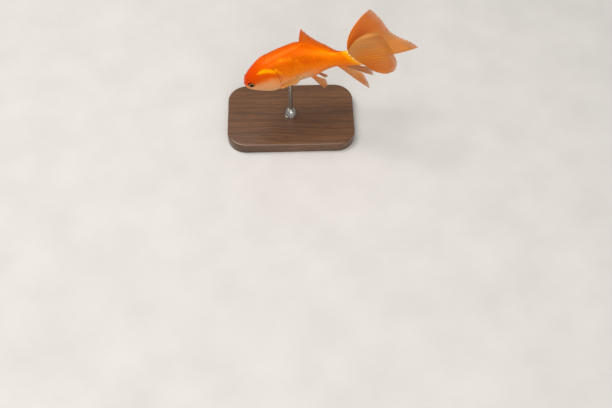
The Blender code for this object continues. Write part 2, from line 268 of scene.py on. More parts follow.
def stainless(name, stretch):
    """Stainless steel with fine tool marks: a grey metal whose marks draw the highlights out."""
    made, tree = finish(name, base_color="#c4c3bf", metallic=1.0)
    place = node(tree, "ShaderNodeTexCoord").outputs["Object"]
    drawn = node(tree, "ShaderNodeMapping", {"Vector": place, "Scale": stretch})
    # marks a tenth of a millimetre apart, the finest that show
    marks = node(tree, "ShaderNodeTexNoise", {"Vector": drawn, "Scale": 9000, "Detail": 3, "Roughness": 0.7})
    rough = node(tree, "ShaderNodeMapRange", {"Value": marks, "To Min": 0.18, "To Max": 0.36})
    relief = node(tree, "ShaderNodeBump", {"Strength": 0.2, "Distance": 0.01 * MM, "Height": marks})
    return wire(made, roughness=rough, normal=relief)


def collar_profile():
    """From the foot up: a rounded foot, a groove, a cylinder with a broken edge, and a cone."""
    low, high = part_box("stand_collar")[0][2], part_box("stand_collar")[1][2]
    waist, top = COLLAR_WAIST * COLLAR_RADIUS, COLLAR_TOP * COLLAR_RADIUS
    groove = zip((COLLAR_RADIUS, waist, waist, COLLAR_RADIUS), COLLAR_GROOVE)
    cone_foot = low + CONE_FOOT * (high - low)
    return [
        (COLLAR_RADIUS - COLLAR_EDGE, BASE_TOP),
        (COLLAR_RADIUS, BASE_TOP + COLLAR_EDGE),
        *((radius, low + share * (high - low)) for radius, share in groove),
        (COLLAR_RADIUS, cone_foot - COLLAR_EDGE),
        (COLLAR_RADIUS - 0.3 * COLLAR_EDGE, cone_foot),
        (top + COLLAR_EDGE, high - COLLAR_EDGE),
        (top, high),
        (ROD_RADIUS, high),
    ]


collar = turned("stand_collar_steel", collar_profile(), stainless("stainless_turned", (0.25, 0.25, 1)))
dress(collar, "stand_steel", "stand_collar")
ROD_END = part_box("stand_rod")[1][2] + 1.2 * MM  # inside the belly
rod = turned(
    "stand_rod_steel",
    [(ROD_RADIUS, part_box("stand_collar")[1][2] - 0.5 * MM), (ROD_RADIUS, ROD_END)],
    stainless("stainless_ground", (1, 1, 0.04)),
)
dress(rod, "stand_steel", "stand_rod")

# ---- The skin ----
# One unbroken skin from lips to tail root, soft and wet: bare on the head, where it lies over the
# plates of the gill cover, and thin under the scales behind it, which it lies below by their depth.
STANDARD_LENGTH = 80 * MM
ROD_SHARE = 0.42  # the place that stands over the rod; places run from snout 0 to tail root 1
ROD_POINT = np.array((0.0, 0.0, 60 * MM))  # where the spine passes over the rod
SECTION_POWER = 0.92  # below 1 a section is fuller than an ellipse
# (place, back above the spine, belly below it, flank beside it), in shares of the standard length
STATIONS = (
    (0.00, 0.000, 0.000, 0.000),
    (0.02, 0.054, 0.056, 0.044),
    (0.06, 0.094, 0.098, 0.070),
    (0.12, 0.132, 0.144, 0.094),
    (0.20, 0.170, 0.192, 0.116),
    (0.30, 0.182, 0.203, 0.126),
    (0.42, 0.192, 0.189, 0.124),
    (0.53, 0.200, 0.184, 0.116),
    (0.62, 0.168, 0.176, 0.100),
    (0.72, 0.112, 0.122, 0.070),
    (0.82, 0.076, 0.082, 0.048),
    (0.92, 0.084, 0.078, 0.040),
    (1.10, 0.094, 0.088, 0.036),
)
# The swimming bend: (place, degrees that the spine turns to the fish's right, tailwards)
BEND = ((0.0, 21.0), (0.15, 20.0), (0.35, 14.0), (0.55, 1.0), (0.72, -16.0), (0.88, -16.0), (1.1, 2.0))
NOSE_DOWN_DEG = 14.0
GILL_EDGE = (0.215, 0.075)  # place of the gill cover's edge at back and belly, and its bulge at the flank
STEM_START = 0.72
TAIL_ROOT = (0.945, 0.12)  # place of the tail root at the back, and how far it slants to the belly
COAT_DEPTH = 0.25 * MM
COLUMNS = 256
HEAD_RINGS, TRUNK_RINGS, STEM_RINGS = 124, 84, 48
EDGE_WOBBLE = 1.8  # how far a marking's edge wanders, in widths of that edge
# What the film of slime gives skin, scales and fins alike: a watery coat, and a warm sheen under it
WET = {"coat_ior": 1.34, "specular_tint": "#ffac60"}


def through(points, at):
    """A smooth curve through (place, value) points, read at each of the given places."""
    x, y = np.array(points, float).T
    slope = np.gradient(y, x)
    at = np.clip(np.asarray(at, float), x[0], x[-1])
    i = np.clip(np.searchsorted(x, at, side="right") - 1, 0, len(x) - 2)
    step = x[i + 1] - x[i]
    t = (at - x[i]) / step
    return (
        (1 + 2 * t) * (1 - t) ** 2 * y[i]
        + t * (1 - t) ** 2 * step * slope[i]
        + t * t * (3 - 2 * t) * y[i + 1]
        + t * t * (t - 1) * step * slope[i + 1]
    )


def unit(v):
    """Vectors brought to length 1."""
    return v / np.linalg.norm(v, axis=-1, keepdims=True)


TABLE = np.linspace(0, 1.1, 400)
TURN = np.radians(through(BEND, TABLE))
PITCH = math.radians(NOSE_DOWN_DEG)
TAILWARD = np.stack(
    [np.cos(PITCH) * np.cos(TURN), np.cos(PITCH) * np.sin(TURN), np.full_like(TURN, np.sin(PITCH))],
    axis=1,
)
WALKED = np.concatenate(
    [np.zeros((1, 3)), np.cumsum((TAILWARD[1:] + TAILWARD[:-1]) / 2 * (TABLE[1] - TABLE[0]), axis=0)]
)


def read_rows(rows, known, at):
    """Vectors that belong to known values, read between them."""
    return np.stack([np.interp(at, known, rows[:, i]) for i in range(3)], axis=-1)


def spine(place):
    """The point of the spine at a place."""
    walked = read_rows(WALKED, TABLE, place) - read_rows(WALKED, TABLE, ROD_SHARE)
    return ROD_POINT + STANDARD_LENGTH * walked


def frame_at(place):
    """Unit vectors at a place: towards the tail, to the fish's left and to its back."""
    tailward = unit(read_rows(TAILWARD, TABLE, place))
    left = unit(np.cross(tailward, (0.0, 0.0, 1.0)))
    return tailward, left, np.cross(left, tailward)


def profile(column, place):
    """A column of STATIONS at a place. It is read over the root of the place, so the snout is round."""
    return through([(math.sqrt(row[0]), row[column]) for row in STATIONS], np.sqrt(place))


def body_point(place, angle, share=1.0, grow=0.0):
    """A point of the body: angle 0 is the left flank and 90 degrees the back; share 0 is the spine."""
    place, angle = np.broadcast_arrays(np.asarray(place, float), np.asarray(angle, float))
    _, left, up = frame_at(place)
    across, over = np.cos(angle), np.sin(angle)
    across = np.sign(across) * np.abs(across) ** SECTION_POWER
    over = np.sign(over) * np.abs(over) ** SECTION_POWER
    height = np.where(over > 0, profile(1, place), profile(2, place)) * STANDARD_LENGTH + grow
    width = profile(3, place) * STANDARD_LENGTH + grow
    share = np.asarray(share, float)
    return (
        spine(place)
        + (share * across * width)[..., None] * left
        + (share * over * height)[..., None] * up
    )


def outward(place, angle):
    """The body's unit normal at a place and angle."""
    step = 0.002
    ahead = np.maximum(place - step, 1e-5)
    along = body_point(place + step, angle) - body_point(ahead, angle)
    around = body_point(place, angle + step) - body_point(place, angle - step)
    return unit(np.cross(along, around))


def gill_edge(angle):
    """The place of the gill cover's edge at an angle round the body."""
    back, bulge = GILL_EDGE
    return back + bulge * np.abs(np.cos(angle)) ** 1.5


def tail_root(angle):
    """The place where the stem ends and the tail fin begins, at an angle round the body."""
    back, slant = TAIL_ROOT
    return back + slant * (1 - np.sin(angle)) / 2


def ease(low, high, x):
    """0 below low, 1 above high, and a smooth step between them."""
    t = np.clip((x - low) / (high - low), 0, 1)
    return t * t * (3 - 2 * t)


def bump(x, width):
    """A round hill, 1 high in its middle and about its width to each side."""
    return np.exp(-((x / width) ** 2))


def hills(x, rows):
    """Round hills and hollows side by side. A row is (height, middle, width)."""
    return sum(height * bump(x - middle, width) for height, middle, width in rows)


def gill_flap(height):
    """Where the gill cover's edge is free: on the flanks, and not over the nape. Height is sin(angle)."""
    return 1 - ease(*NAPE, height)


# Each eye's middle, from its solid, and the way it looks: sideways, and a little with the skin round it
EYE_RADIUS = 2.5 * MM
EYE_PLACE, EYE_TURN = 0.052, math.radians(12)
EYES = {}
for word, side, turn in (("left", 1, EYE_TURN), ("right", -1, math.pi - EYE_TURN)):
    low, high = (np.array(corner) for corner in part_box(f"eye_{word}"))
    sideways = side * frame_at(EYE_PLACE)[1]
    looks = unit(0.8 * sideways + outward(np.array(EYE_PLACE), np.array(turn)))
    EYES[word] = ((low + high) / 2, looks)

# The orbit, in mm from the eye's axis: the socket's depth and where its wall stands, and the rim and
# the furrow round it
SOCKET_DEPTH, SOCKET_WALL = 1.3, (2.1, 2.4)
ORBIT = ((0.2, 2.62, 0.2), (-0.14, 3.2, 0.28))

# The mouth's plane starts at the snout and slants down tailwards. The rest is in mm: where the
# corners lie, the cleft's depth and width, and lips and folds above and below it
JAW_TILT_DEG, JAW_DROP = 22.0, 0.008
MOUTH_BACK = 5.0
CLEFT_DEPTH, CLEFT_WIDTH = 0.85, 0.24
LIPS = ((0.26, 0.8, 0.42), (0.28, -0.85, 0.46))
FOLDS = ((0.2, 1.85, 0.3), (0.16, -1.95, 0.34))

NOSTRIL_PLACES, NOSTRIL_ANGLE_DEG = (0.024, 0.037), 58.0
FRONT_NOSTRIL, REAR_NOSTRIL = (0.6, 0.36), (0.75, 0.46)  # depth and width in mm

# The gill cover: the heights between which its edge grows fast to the nape, the place of the groove
# in front of it and how far that bends forwards under the cheek, and its reliefs in mm
NAPE = (0.55, 0.86)
GROOVE_PLACE, GROOVE_BEND = 0.166, 0.078
COVER_CROWN, GROOVE_DEPTH, SEAM_DEPTH, BORDER_DEPTH = 0.16, 0.24, 0.14, 0.13
UNDER_COVER = 0.85  # how deep the shoulder starts under the cover's free edge, in mm

# Where flesh swells at the roots of the pectoral and the pelvic fins: (place, degrees, height and
# width in mm)
FIN_SWELLS = ((0.290, -38, 0.5, 2.2), (0.588, -72, 0.35, 2.0))
# The ridge under the dorsal fin: the places where it rises and sinks, and its height in mm
RIDGE_RISE, RIDGE_SINK, RIDGE_HEIGHT = (0.53, 0.56), (0.84, 0.88), 0.3
VENT_PLACE, VENT_HEIGHT = 0.815, 0.35
# Under the gill cover the skin turns in: (mm tailwards of the cover's edge, mm inwards)
GILL_TUCK = ((0.05, 0.2), (-0.1, 0.42), (-0.42, 0.62), (-0.3, 0.84))
# The stem's rounded end between the two halves of the tail: (mm past the rim, share of the section)
STEM_END = ((0.5, 0.93), (1.0, 0.84), (1.5, 0.7), (1.9, 0.52), (2.2, 0.3), (2.3, 0.0))


def eye_relief(points):
    """The orbit: a socket for the eyeball, a raised rim round it and a shallow furrow round that."""
    depth = np.zeros(points.shape[:-1])
    for centre, looks in EYES.values():
        away = (points - centre) / MM
        out = away @ looks
        across = np.linalg.norm(away - out[..., None] * looks, axis=-1)
        near = ease(-2.5, -0.5, out)
        depth -= SOCKET_DEPTH * near * (1 - ease(*SOCKET_WALL, across))
        depth += near * hills(across, ORBIT)
    return depth


def mouth_relief(points):
    """The closed mouth with its two lips, the fold round the upper one and the corners."""
    tailward, _, up = frame_at(0.0)
    tilt = math.radians(JAW_TILT_DEG)
    back = math.cos(tilt) * tailward - math.sin(tilt) * up
    over = math.sin(tilt) * tailward + math.cos(tilt) * up
    away = (points - spine(0.0) + JAW_DROP * STANDARD_LENGTH * over) / MM
    along, above = away @ back, away @ over
    above = above + 0.7 * ease(2.0, MOUTH_BACK, along)  # the corners turn down
    mouth = 1 - ease(MOUTH_BACK - 1.0, MOUTH_BACK + 0.2, along)
    fold = 1 - ease(MOUTH_BACK - 1.6, MOUTH_BACK + 0.4, along)
    cleft = mouth * bump(above, CLEFT_WIDTH)
    corner = 0.3 * bump(along - MOUTH_BACK, 0.5) * bump(above, 0.7)
    depth = -CLEFT_DEPTH * cleft + mouth * hills(above, LIPS) - fold * hills(above, FOLDS) - corner
    return depth, cleft


def nostril_relief(points):
    """Two openings on each side, the front one round, with a flap of skin standing between them."""
    depth, hollow = np.zeros(points.shape[:-1]), np.zeros(points.shape[:-1])
    (front_depth, front_width), (rear_depth, rear_width) = FRONT_NOSTRIL, REAR_NOSTRIL
    for turn in (math.radians(NOSTRIL_ANGLE_DEG), math.pi - math.radians(NOSTRIL_ANGLE_DEG)):
        front, rear = (body_point(place, turn) for place in NOSTRIL_PLACES)
        to_front, to_flap, to_rear = (
            np.linalg.norm(points - at, axis=-1) / MM for at in (front, (front + rear) / 2, rear)
        )
        front_pit, rear_pit = bump(to_front, front_width), bump(to_rear, rear_width)
        flap = 0.12 * bump(to_flap - 1.25, 0.4) + 0.42 * bump(to_flap, 0.3)
        depth += flap - (front_depth * front_pit + rear_depth * rear_pit)
        hollow += front_pit + rear_pit
    return depth, np.clip(hollow, 0, 1)


def gill_relief(place, height, behind):
    """The gill cover's plates, seen through the skin, and the soft border along its edge."""
    open_side = gill_flap(height) * ease(-1.0, -0.86, height)
    # the groove in front of the cover runs down behind the eye and bends forwards under the cheek
    groove_place = GROOVE_PLACE - GROOVE_BEND * ease(0.05, 0.85, -height)
    groove = bump((place - groove_place) * STANDARD_LENGTH / MM, 0.5) * (1 - ease(0.45, 0.7, height))
    # the seam between the cover's upper and lower plates
    seam = bump(height + 0.6 + 1.2 * (place - 0.2), 0.056) * ease(0.12, 0.16, place)
    crown = bump((place - GILL_EDGE[0]) * STANDARD_LENGTH / MM, 3.2) * bump(height + 0.05, 0.55)
    border = ease(-1.9, -1.5, behind)
    sunk = GROOVE_DEPTH * groove + SEAM_DEPTH * seam + BORDER_DEPTH * border
    return open_side * (COVER_CROWN * crown - sunk)


def flesh(place, angle, behind):
    """How far the skin stands out from the outline behind the head, in mm: under the coat's depth,
    sunk under the gill cover's edge, and raised at the fins' roots, the back's ridge and the vent."""
    height, across = np.sin(angle), np.cos(angle)
    points = body_point(place, angle)
    shoulder = gill_flap(height) * np.exp(-np.maximum(behind, 0) / 1.6) * ease(0, 0.1, behind)
    ridge = bump(across * 12, 1.3) * ease(*RIDGE_RISE, place) * (1 - ease(*RIDGE_SINK, place))
    vent = bump((place - VENT_PLACE) * STANDARD_LENGTH / MM, 1.1) * bump(across, 0.16)
    depth = -COAT_DEPTH / MM * ease(0.0, 1.6, behind) - UNDER_COVER * shoulder
    depth = depth + np.where(height > 0, RIDGE_HEIGHT * ridge, VENT_HEIGHT * vent)
    for at, down, swell, width in FIN_SWELLS:
        for turn in (math.radians(down), math.pi - math.radians(down)):
            root = body_point(at, turn)
            depth = depth + swell * bump(np.linalg.norm(points - root, axis=-1) / MM, width)
    return depth


def skin_rings():
    """Each ring of the skin as its places by angle, and how far it is tucked in, in mm."""
    angles = -math.pi / 2 + np.arange(COLUMNS) * 2 * math.pi / COLUMNS
    edge, root, flap = gill_edge(angles), tail_root(angles), gill_flap(np.sin(angles))
    mm = MM / STANDARD_LENGTH
    rings = [(edge * t, 0 * angles) for t in np.linspace(0.002, 1, HEAD_RINGS) ** 1.6]
    # where the cover is grown fast, the tucked rings lie one after another on the plain skin
    for step, (beyond, inward) in enumerate(GILL_TUCK):
        plain = 0.1 * (step + 1)
        rings.append((edge + mm * (flap * beyond + (1 - flap) * plain), inward * flap))
    start = edge + 0.5 * mm
    rings += [(start + (STEM_START - start) * t, 0 * angles) for t in np.linspace(0, 1, TRUNK_RINGS)]
    rings += [
        (STEM_START + (root - STEM_START) * t, 0 * angles) for t in np.linspace(0, 1, STEM_RINGS)[1:]
    ]
    return angles, rings


def skin_grid():
    """The skin's points by ring and column, and what its colours are worked out from."""
    angles, rings = skin_rings()
    loops, places, hollows = [], [], []
    for place, inward in rings:
        points = body_point(place, angles)
        behind = (place - gill_edge(angles)) * STANDARD_LENGTH / MM
        mouth, cleft = mouth_relief(points)
        nostrils, pits = nostril_relief(points)
        head = eye_relief(points) + mouth + nostrils + gill_relief(place, np.sin(angles), behind)
        depth = head * (1 - ease(0.0, 0.3, behind)) + flesh(place, angles, behind) - inward
        loops.append(points + outward(place, angles) * depth[:, None] * MM)
        places.append(place)
        # how much painted shade darkens the skin in the mouth's cleft, the nostrils and under the gill cover
        hollows.append(np.maximum(np.maximum(cleft, pits), ease(0.3, 0.8, inward)))
    loops[0] = np.broadcast_to(loops[0].mean(axis=0), loops[0].shape)
    # the flesh closes in a rounded end between the two halves of the tail
    for beyond, share in STEM_END:
        place = tail_root(angles) + beyond * MM / STANDARD_LENGTH
        if share == 0:
            place = np.full_like(place, place.mean())
        loops.append(body_point(place, angles, share, -COAT_DEPTH))
        places.append(place)
        hollows.append(0 * angles)
    return angles, np.array(loops), np.array(places), np.array(hollows)


def streak(place, height, line, half_width):
    """How far a point lies in a streak along a line of (place, height) points, drawn out thin in front."""
    start, stop = line[0][0], line[-1][0]
    swell = ease(start, start + 0.5 * (stop - start), place)
    ends = np.minimum(swell * 1.7, 1) * (1 - ease(stop - 0.25 * (stop - start), stop, place))
    return ends * bump(height - through(line, place), half_width * (0.2 + 0.8 * swell))


# The lines that the markings follow, as (place, height) points, and how high they reach over them
# the gold lines are partly the guanine's own gold and partly painted highlight, glints of light along the
# cheek, flank and stem
CHEEK_GOLD_GLINT = (
    (0.075, 0.76), (0.11, 0.79), (0.16, 0.775), (0.217, 0.69), (0.26, 0.57), (0.293, 0.44), (0.35, 0.1),
)
FLANK_GOLD_GLINT = ((0.26, 0.94), (0.346, 0.83), (0.415, 0.75), (0.49, 0.57), (0.56, 0.42))
STEM_GOLD_GLINT = ((0.64, 0.99), (0.76, 0.95), (0.86, 0.8), (0.95, 0.6))
# the shade lines carry painted shade, a darker band along the lower edge of the gold
CHEEK_SHADE = [(place, height - 0.27) for place, height in CHEEK_GOLD_GLINT]
SHOULDER_SHADE = ((0.46, 0.5), (0.62, 0.35), (0.8, 0.3))
CHEEK_HALF, FLANK_HALF, SHADE_HALF, SHOULDER_HALF = 0.095, 0.08, 0.13, 0.3


def marking_values(place, angle):
    """What the markings are worked out from: place, height up the flank, mm before the tail's root, where
    gold shows, partly the guanine in the skin and partly a painted highlight, and where painted shade
    darkens the skin under it."""
    place = place + 0 * angle
    height = np.sin(angle) + 0 * place
    cheek, flank, stem, under, shoulder = (
        streak(place, height, line, half)
        for line, half in (
            (CHEEK_GOLD_GLINT, CHEEK_HALF),
            (FLANK_GOLD_GLINT, FLANK_HALF),
            (STEM_GOLD_GLINT, FLANK_HALF),
            (CHEEK_SHADE, SHADE_HALF),
            (SHOULDER_SHADE, SHOULDER_HALF),
        )
    )
    return {
        "place": place,
        "height": height,
        "before_tail": (tail_root(angle) - place) * STANDARD_LENGTH / MM,
        "gold": 1.15 * cheek + 0.5 * flank + 0.5 * stem,
        "flush": under + 0.7 * shoulder,
    }


def clouds(tree, at, scale, reach, detail=4):
    """Soft noise, and how far it shifts a value that a colour is read from, by its reach at most."""
    settings = {"Vector": at, "Scale": scale, "Detail": detail, "Roughness": 0.6}
    cloud = node(tree, "ShaderNodeTexNoise", settings)
    return cloud, node(tree, "ShaderNodeMapRange", {"Value": cloud, "To Min": -reach, "To Max": reach})


def markings(tree):
    """The fish's colours, one set of nodes for skin and scales: orange, redder over the back and the head,
    peach on the belly, lighter there partly as painted fill light, gold on the gill cover and flank that is
    partly a painted highlight, with painted shade under it, and yellow at the tail's root with a painted
    highlight along it."""
    place, height, before_tail, gold, flush = (
        node(tree, "ShaderNodeAttribute", attribute_name=name).outputs["Fac"]
        for name in ("place", "height", "before_tail", "gold", "flush")
    )
    at = node(tree, "ShaderNodeTexCoord").outputs["Object"]
    # clouds about 5 mm across break up every edge between two colours
    _, drift = clouds(tree, at, 190, 0.16)
    level = node(tree, "ShaderNodeMath", {0: height, 1: drift}, operation="ADD")
    flank = node(tree, "ShaderNodeMapRange", {"Value": level, "From Min": -1, "From Max": 1})
    # paler down to the peach belly: the fish's own countershading, and lighter still below as painted fill
    # light for the shade under the body
    by_height = node(
        tree,
        "ShaderNodeValToRGB",
        {"Fac": flank},
        stops=[
            (0.0, "#eec29e"),
            (0.22, "#e8b286"),
            (0.36, "#e4985c"),
            (0.46, "#ea7e20"),
            (0.56, "#ec7804"),
            (0.7, "#e46800"),
            (0.86, "#da6000"),
            (1.0, "#d25400"),
        ],
    )

    def laid_over(under, colour, limits):
        """A colour laid over what is under it, as far as every limit allows. A limit is (what it
        reads, where the colour starts, where it is full, how much of it there is then)."""
        share = None
        for source, start, full, most in limits:
            wobble = {0: drift, 1: EDGE_WOBBLE * abs(full - start), 2: source}
            moved = node(tree, "ShaderNodeMath", wobble, operation="MULTIPLY_ADD")
            reach = node(
                tree,
                "ShaderNodeMapRange",
                {"Value": moved, "From Min": start, "From Max": full, "To Max": most},
                interpolation_type="SMOOTHSTEP",
            )
            if share is None:
                share = reach
            else:
                share = node(tree, "ShaderNodeMath", {0: share, 1: reach}, operation="MULTIPLY")
        return node(tree, "ShaderNodeMix", {"Factor": share, "A": under, "B": colour}, data_type="RGBA")

    layers = (
        # the cheek and the throat are paler than the flank at the same height
        ("#e2a674", (place, 0.4, 0.14, 0.85), (height, 0.36, -0.06, 1)),
        # the stem of the tail stays orange below
        ("#f67800", (place, 0.5, 0.72, 0.85), (height, -1.1, -0.7, 1)),
        # the crown and the snout are redder
        ("#c83800", (place, 0.26, 0.04, 0.9), (height, -0.3, 0.6, 1)),
        # the painted shade under the gold, and the gold itself, partly a painted highlight
        ("#cc3e00", (flush, 0.1, 1.0, 0.5)),
        ("#ffa400", (gold, 0.05, 1.12, 0.88)),
        # yellow at the tail's root, drawn out to a cream line where the fin's rays begin: that line is a
        # painted highlight
        ("#ffa004", (before_tail, 5.4, 2.2, 0.95)),
        ("#ffe08a", (before_tail, 0.9, -0.2, 0.8)),
    )
    colour = by_height
    for over, *limits in layers:
        colour = laid_over(colour, over, limits)
    return colour, at


def goldfish_skin():
    """Living skin under a film of slime: saturated orange, slightly translucent, and glossy when wet."""
    made, tree = finish(
        "goldfish_skin_wet",
        ior=1.38,
        specular_ior_level=0.14,
        subsurface_weight=0.08,
        subsurface_radius=(1.0, 0.3, 0.06),
        subsurface_scale=1.0 * MM,
        coat_weight=0.08,
        coat_roughness=0.15,
        **WET,
    )
    colour, at = markings(tree)
    # painted shade: the mouth's cleft, the nostrils and the skin tucked under the gill cover are painted
    # dark where shade falls in them
    hollow = node(tree, "ShaderNodeAttribute", attribute_name="hollow").outputs["Fac"]
    inside = node(tree, "ShaderNodeMath", {0: hollow, 1: 0.85}, operation="MULTIPLY")
    colour = node(tree, "ShaderNodeMix", {"Factor": inside, "A": colour, "B": "#5a1a08"}, data_type="RGBA")
    # the skin's own grain, a fifth of a millimetre across, and its pores, a millimetre apart
    grain = node(tree, "ShaderNodeTexNoise", {"Vector": at, "Scale": 5000, "Detail": 2, "Roughness": 0.5})
    pits = node(tree, "ShaderNodeTexVoronoi", {"Vector": at, "Scale": 900, "Randomness": 1.0})
    relief = node(tree, "ShaderNodeBump", {"Strength": 0.18, "Distance": 0.03 * MM, "Height": grain})
    deeper = {"Strength": 0.1, "Distance": 0.05 * MM, "Height": pits, "Normal": relief}
    pitted = node(tree, "ShaderNodeBump", deeper)
    rough = node(tree, "ShaderNodeMapRange", {"Value": grain, "To Min": 0.34, "To Max": 0.5})
    return wire(made, base_color=colour, roughness=rough, normal=pitted)


angles, grid, places, hollows = skin_grid()
skin = solid(
    "fish_skin",
    grid.reshape(-1, 3),
    tube(len(grid), COLUMNS),
    goldfish_skin(),
    values={**marking_values(places, angles), "hollow": hollows},
)
dress(skin, "skin", "head", "lower_jaw", "gill_cover_left", "gill_cover_right", "trunk", "tail_stem")

# ---- The scales ----
# Thin bony plates in rows down the body, each rooted in the skin under the one before it, its rear
# edge free and rounded. About 27 lie along the flank and 28 rows run round the body.
ROWS, ALONG = 28, 27
SCALE_ROOT, SCALE_TIP = -0.75, 0.62  # from its middle to its two ends, in lengths of the visible part
SCALE_HALF = 0.76  # half its width, in widths of a row
SCALE_THICKNESS, SCALE_RISE = 0.035 * MM, 0.08 * MM
CROWDING = 0.22  # how much longer the first scales are than the mean, and the last ones shorter
UNEVEN = 0.04  # how much a scale's size may differ from its neighbours', as a share
LATERAL_ROWS = (7, 20)  # the rows with the pores of the lateral line
PATCH = 0.003  # how wide each scale is on the coat's UV map
MARGIN = 0.04  # how far the bed runs on past the coat on each side, as a share of it
BED_LENGTH, BED_ROUND = 220, 320


def bed_point(along, girth):
    """Where the coat lies: along runs from gill edge 0 to tail root 1, girth round from the belly."""
    angle = 2 * math.pi * girth - math.pi / 2
    place = gill_edge(angle) + (tail_root(angle) - gill_edge(angle)) * along
    behind = (place - gill_edge(angle)) * STANDARD_LENGTH / MM
    # in front of the gill cover's edge the bed dives 1 mm under the skin
    depth = np.where(behind > 0, flesh(place, angle, behind), -1.0)
    normal = outward(place, angle)
    return body_point(place, angle) + normal * depth[..., None] * MM, normal, place, angle


def sheet(name, points, rows, columns, values=None):
    """An open sheet of points, rows by columns."""
    faces = [
        (r * columns + c, r * columns + c + 1, (r + 1) * columns + c + 1, (r + 1) * columns + c)
        for r in range(rows - 1)
        for c in range(columns - 1)
    ]
    return shape(name, points, faces, values)


def make_bed():
    """A helper that the scales are laid on: the body under the coat, unrolled in its UV map."""
    share = np.linspace(-MARGIN, 1 + MARGIN, BED_LENGTH)
    girth = np.linspace(-MARGIN, 1 + MARGIN, BED_ROUND)
    share, girth = np.meshgrid(share, girth, indexing="ij")
    points, normals, _, _ = bed_point(share, girth)
    made = sheet("scale_bed", points.reshape(-1, 3), BED_LENGTH, BED_ROUND, {"outward": normals})
    unrolled = np.stack([share, girth], axis=-1).reshape(-1, 2)
    unrolled = (unrolled + MARGIN) / (1 + 2 * MARGIN)
    corners = np.array([loop.vertex_index for loop in made.data.loops])
    made.data.uv_layers.new(name="lie").data.foreach_set("uv", unrolled[corners].ravel())
    return made


def make_scale():
    """One scale: a thin lens, blunt at its root and round at its free edge, which stands highest."""
    length, width = 5, 7  # points along and across
    across = np.linspace(-1, 1, width)
    tip = SCALE_TIP * (0.3 + 0.7 * np.sqrt(1 - (0.96 * across) ** 2))
    root = SCALE_ROOT * (1 - 0.25 * across**4)
    steps = np.linspace(0, 1, length)[:, None] ** 0.85
    x = root + (tip - root) * steps
    y = SCALE_HALF * across * (0.86 + 0.14 * np.sin(math.pi * steps * 0.75))
    rise = -0.04 * MM + SCALE_RISE * (x - SCALE_ROOT) / (SCALE_TIP - SCALE_ROOT) - 0.006 * MM * across**2
    rim = np.ones((length, width), bool)
    rim[1:-1, 1:-1] = False
    under = rise - np.where(rim, 0, SCALE_THICKNESS)
    top = np.stack([x, y, rise + np.where(rim, -0.3, 0) * SCALE_THICKNESS], axis=-1).reshape(-1, 3)
    low = np.stack([x, y, under], axis=-1).reshape(-1, 3)[~rim.ravel()]
    number = np.arange(length * width).reshape(length, width)
    below = number.copy()
    below[~rim] = length * width + np.arange((~rim).sum())
    faces = []
    for r in range(length - 1):
        for c in range(width - 1):
            faces.append((number[r, c], number[r + 1, c], number[r + 1, c + 1], number[r, c + 1]))
            faces.append((below[r, c], below[r, c + 1], below[r + 1, c + 1], below[r + 1, c]))
    points = np.concatenate([top, low])
    return shape("one_scale", points, np.array(faces).tolist(), {"local": points * (1, 1, 0)})


def make_roots():
    """One point for each scale, placed in the bed's UV map, with its size there and its markings."""
    rng = np.random.default_rng(7)
    at, reach, notes = [], [], []
    for row in range(ROWS):
        for k in range(ALONG + 1):
            step = (k + 0.5 * (row % 2)) / ALONG
            if step > 1:
                continue
            at.append((step * (1 + CROWDING - CROWDING * step), (row + 0.5) / ROWS, 0.0))
            reach.append(((1 + CROWDING - 2 * CROWDING * step) / ALONG, 1 / ROWS, 1.0))
            notes.append((rng.uniform(), 1.0 if row in LATERAL_ROWS else 0.0))
    at, reach, notes = np.array(at), np.array(reach), np.array(notes)
    reach *= 1 + rng.uniform(-UNEVEN, UNEVEN, reach.shape) * (1, 1, 0)
    _, _, place, angle = bed_point(at[:, 0], at[:, 1])
    unrolled = (at + (MARGIN, MARGIN, 0)) / (1 + 2 * MARGIN)
    values = {
        "reach": reach / (1 + 2 * MARGIN, 1 + 2 * MARGIN, 1),
        "root": np.stack([place, at[:, 1], 0 * place], axis=1),
        **marking_values(place, angle),
        "tint": notes[:, 0],
        "pore": notes[:, 1],
    }
    made = shape("scale_roots", unrolled * (1, 1, 0), [], values)
    made.name = "fish_scales"
    return made


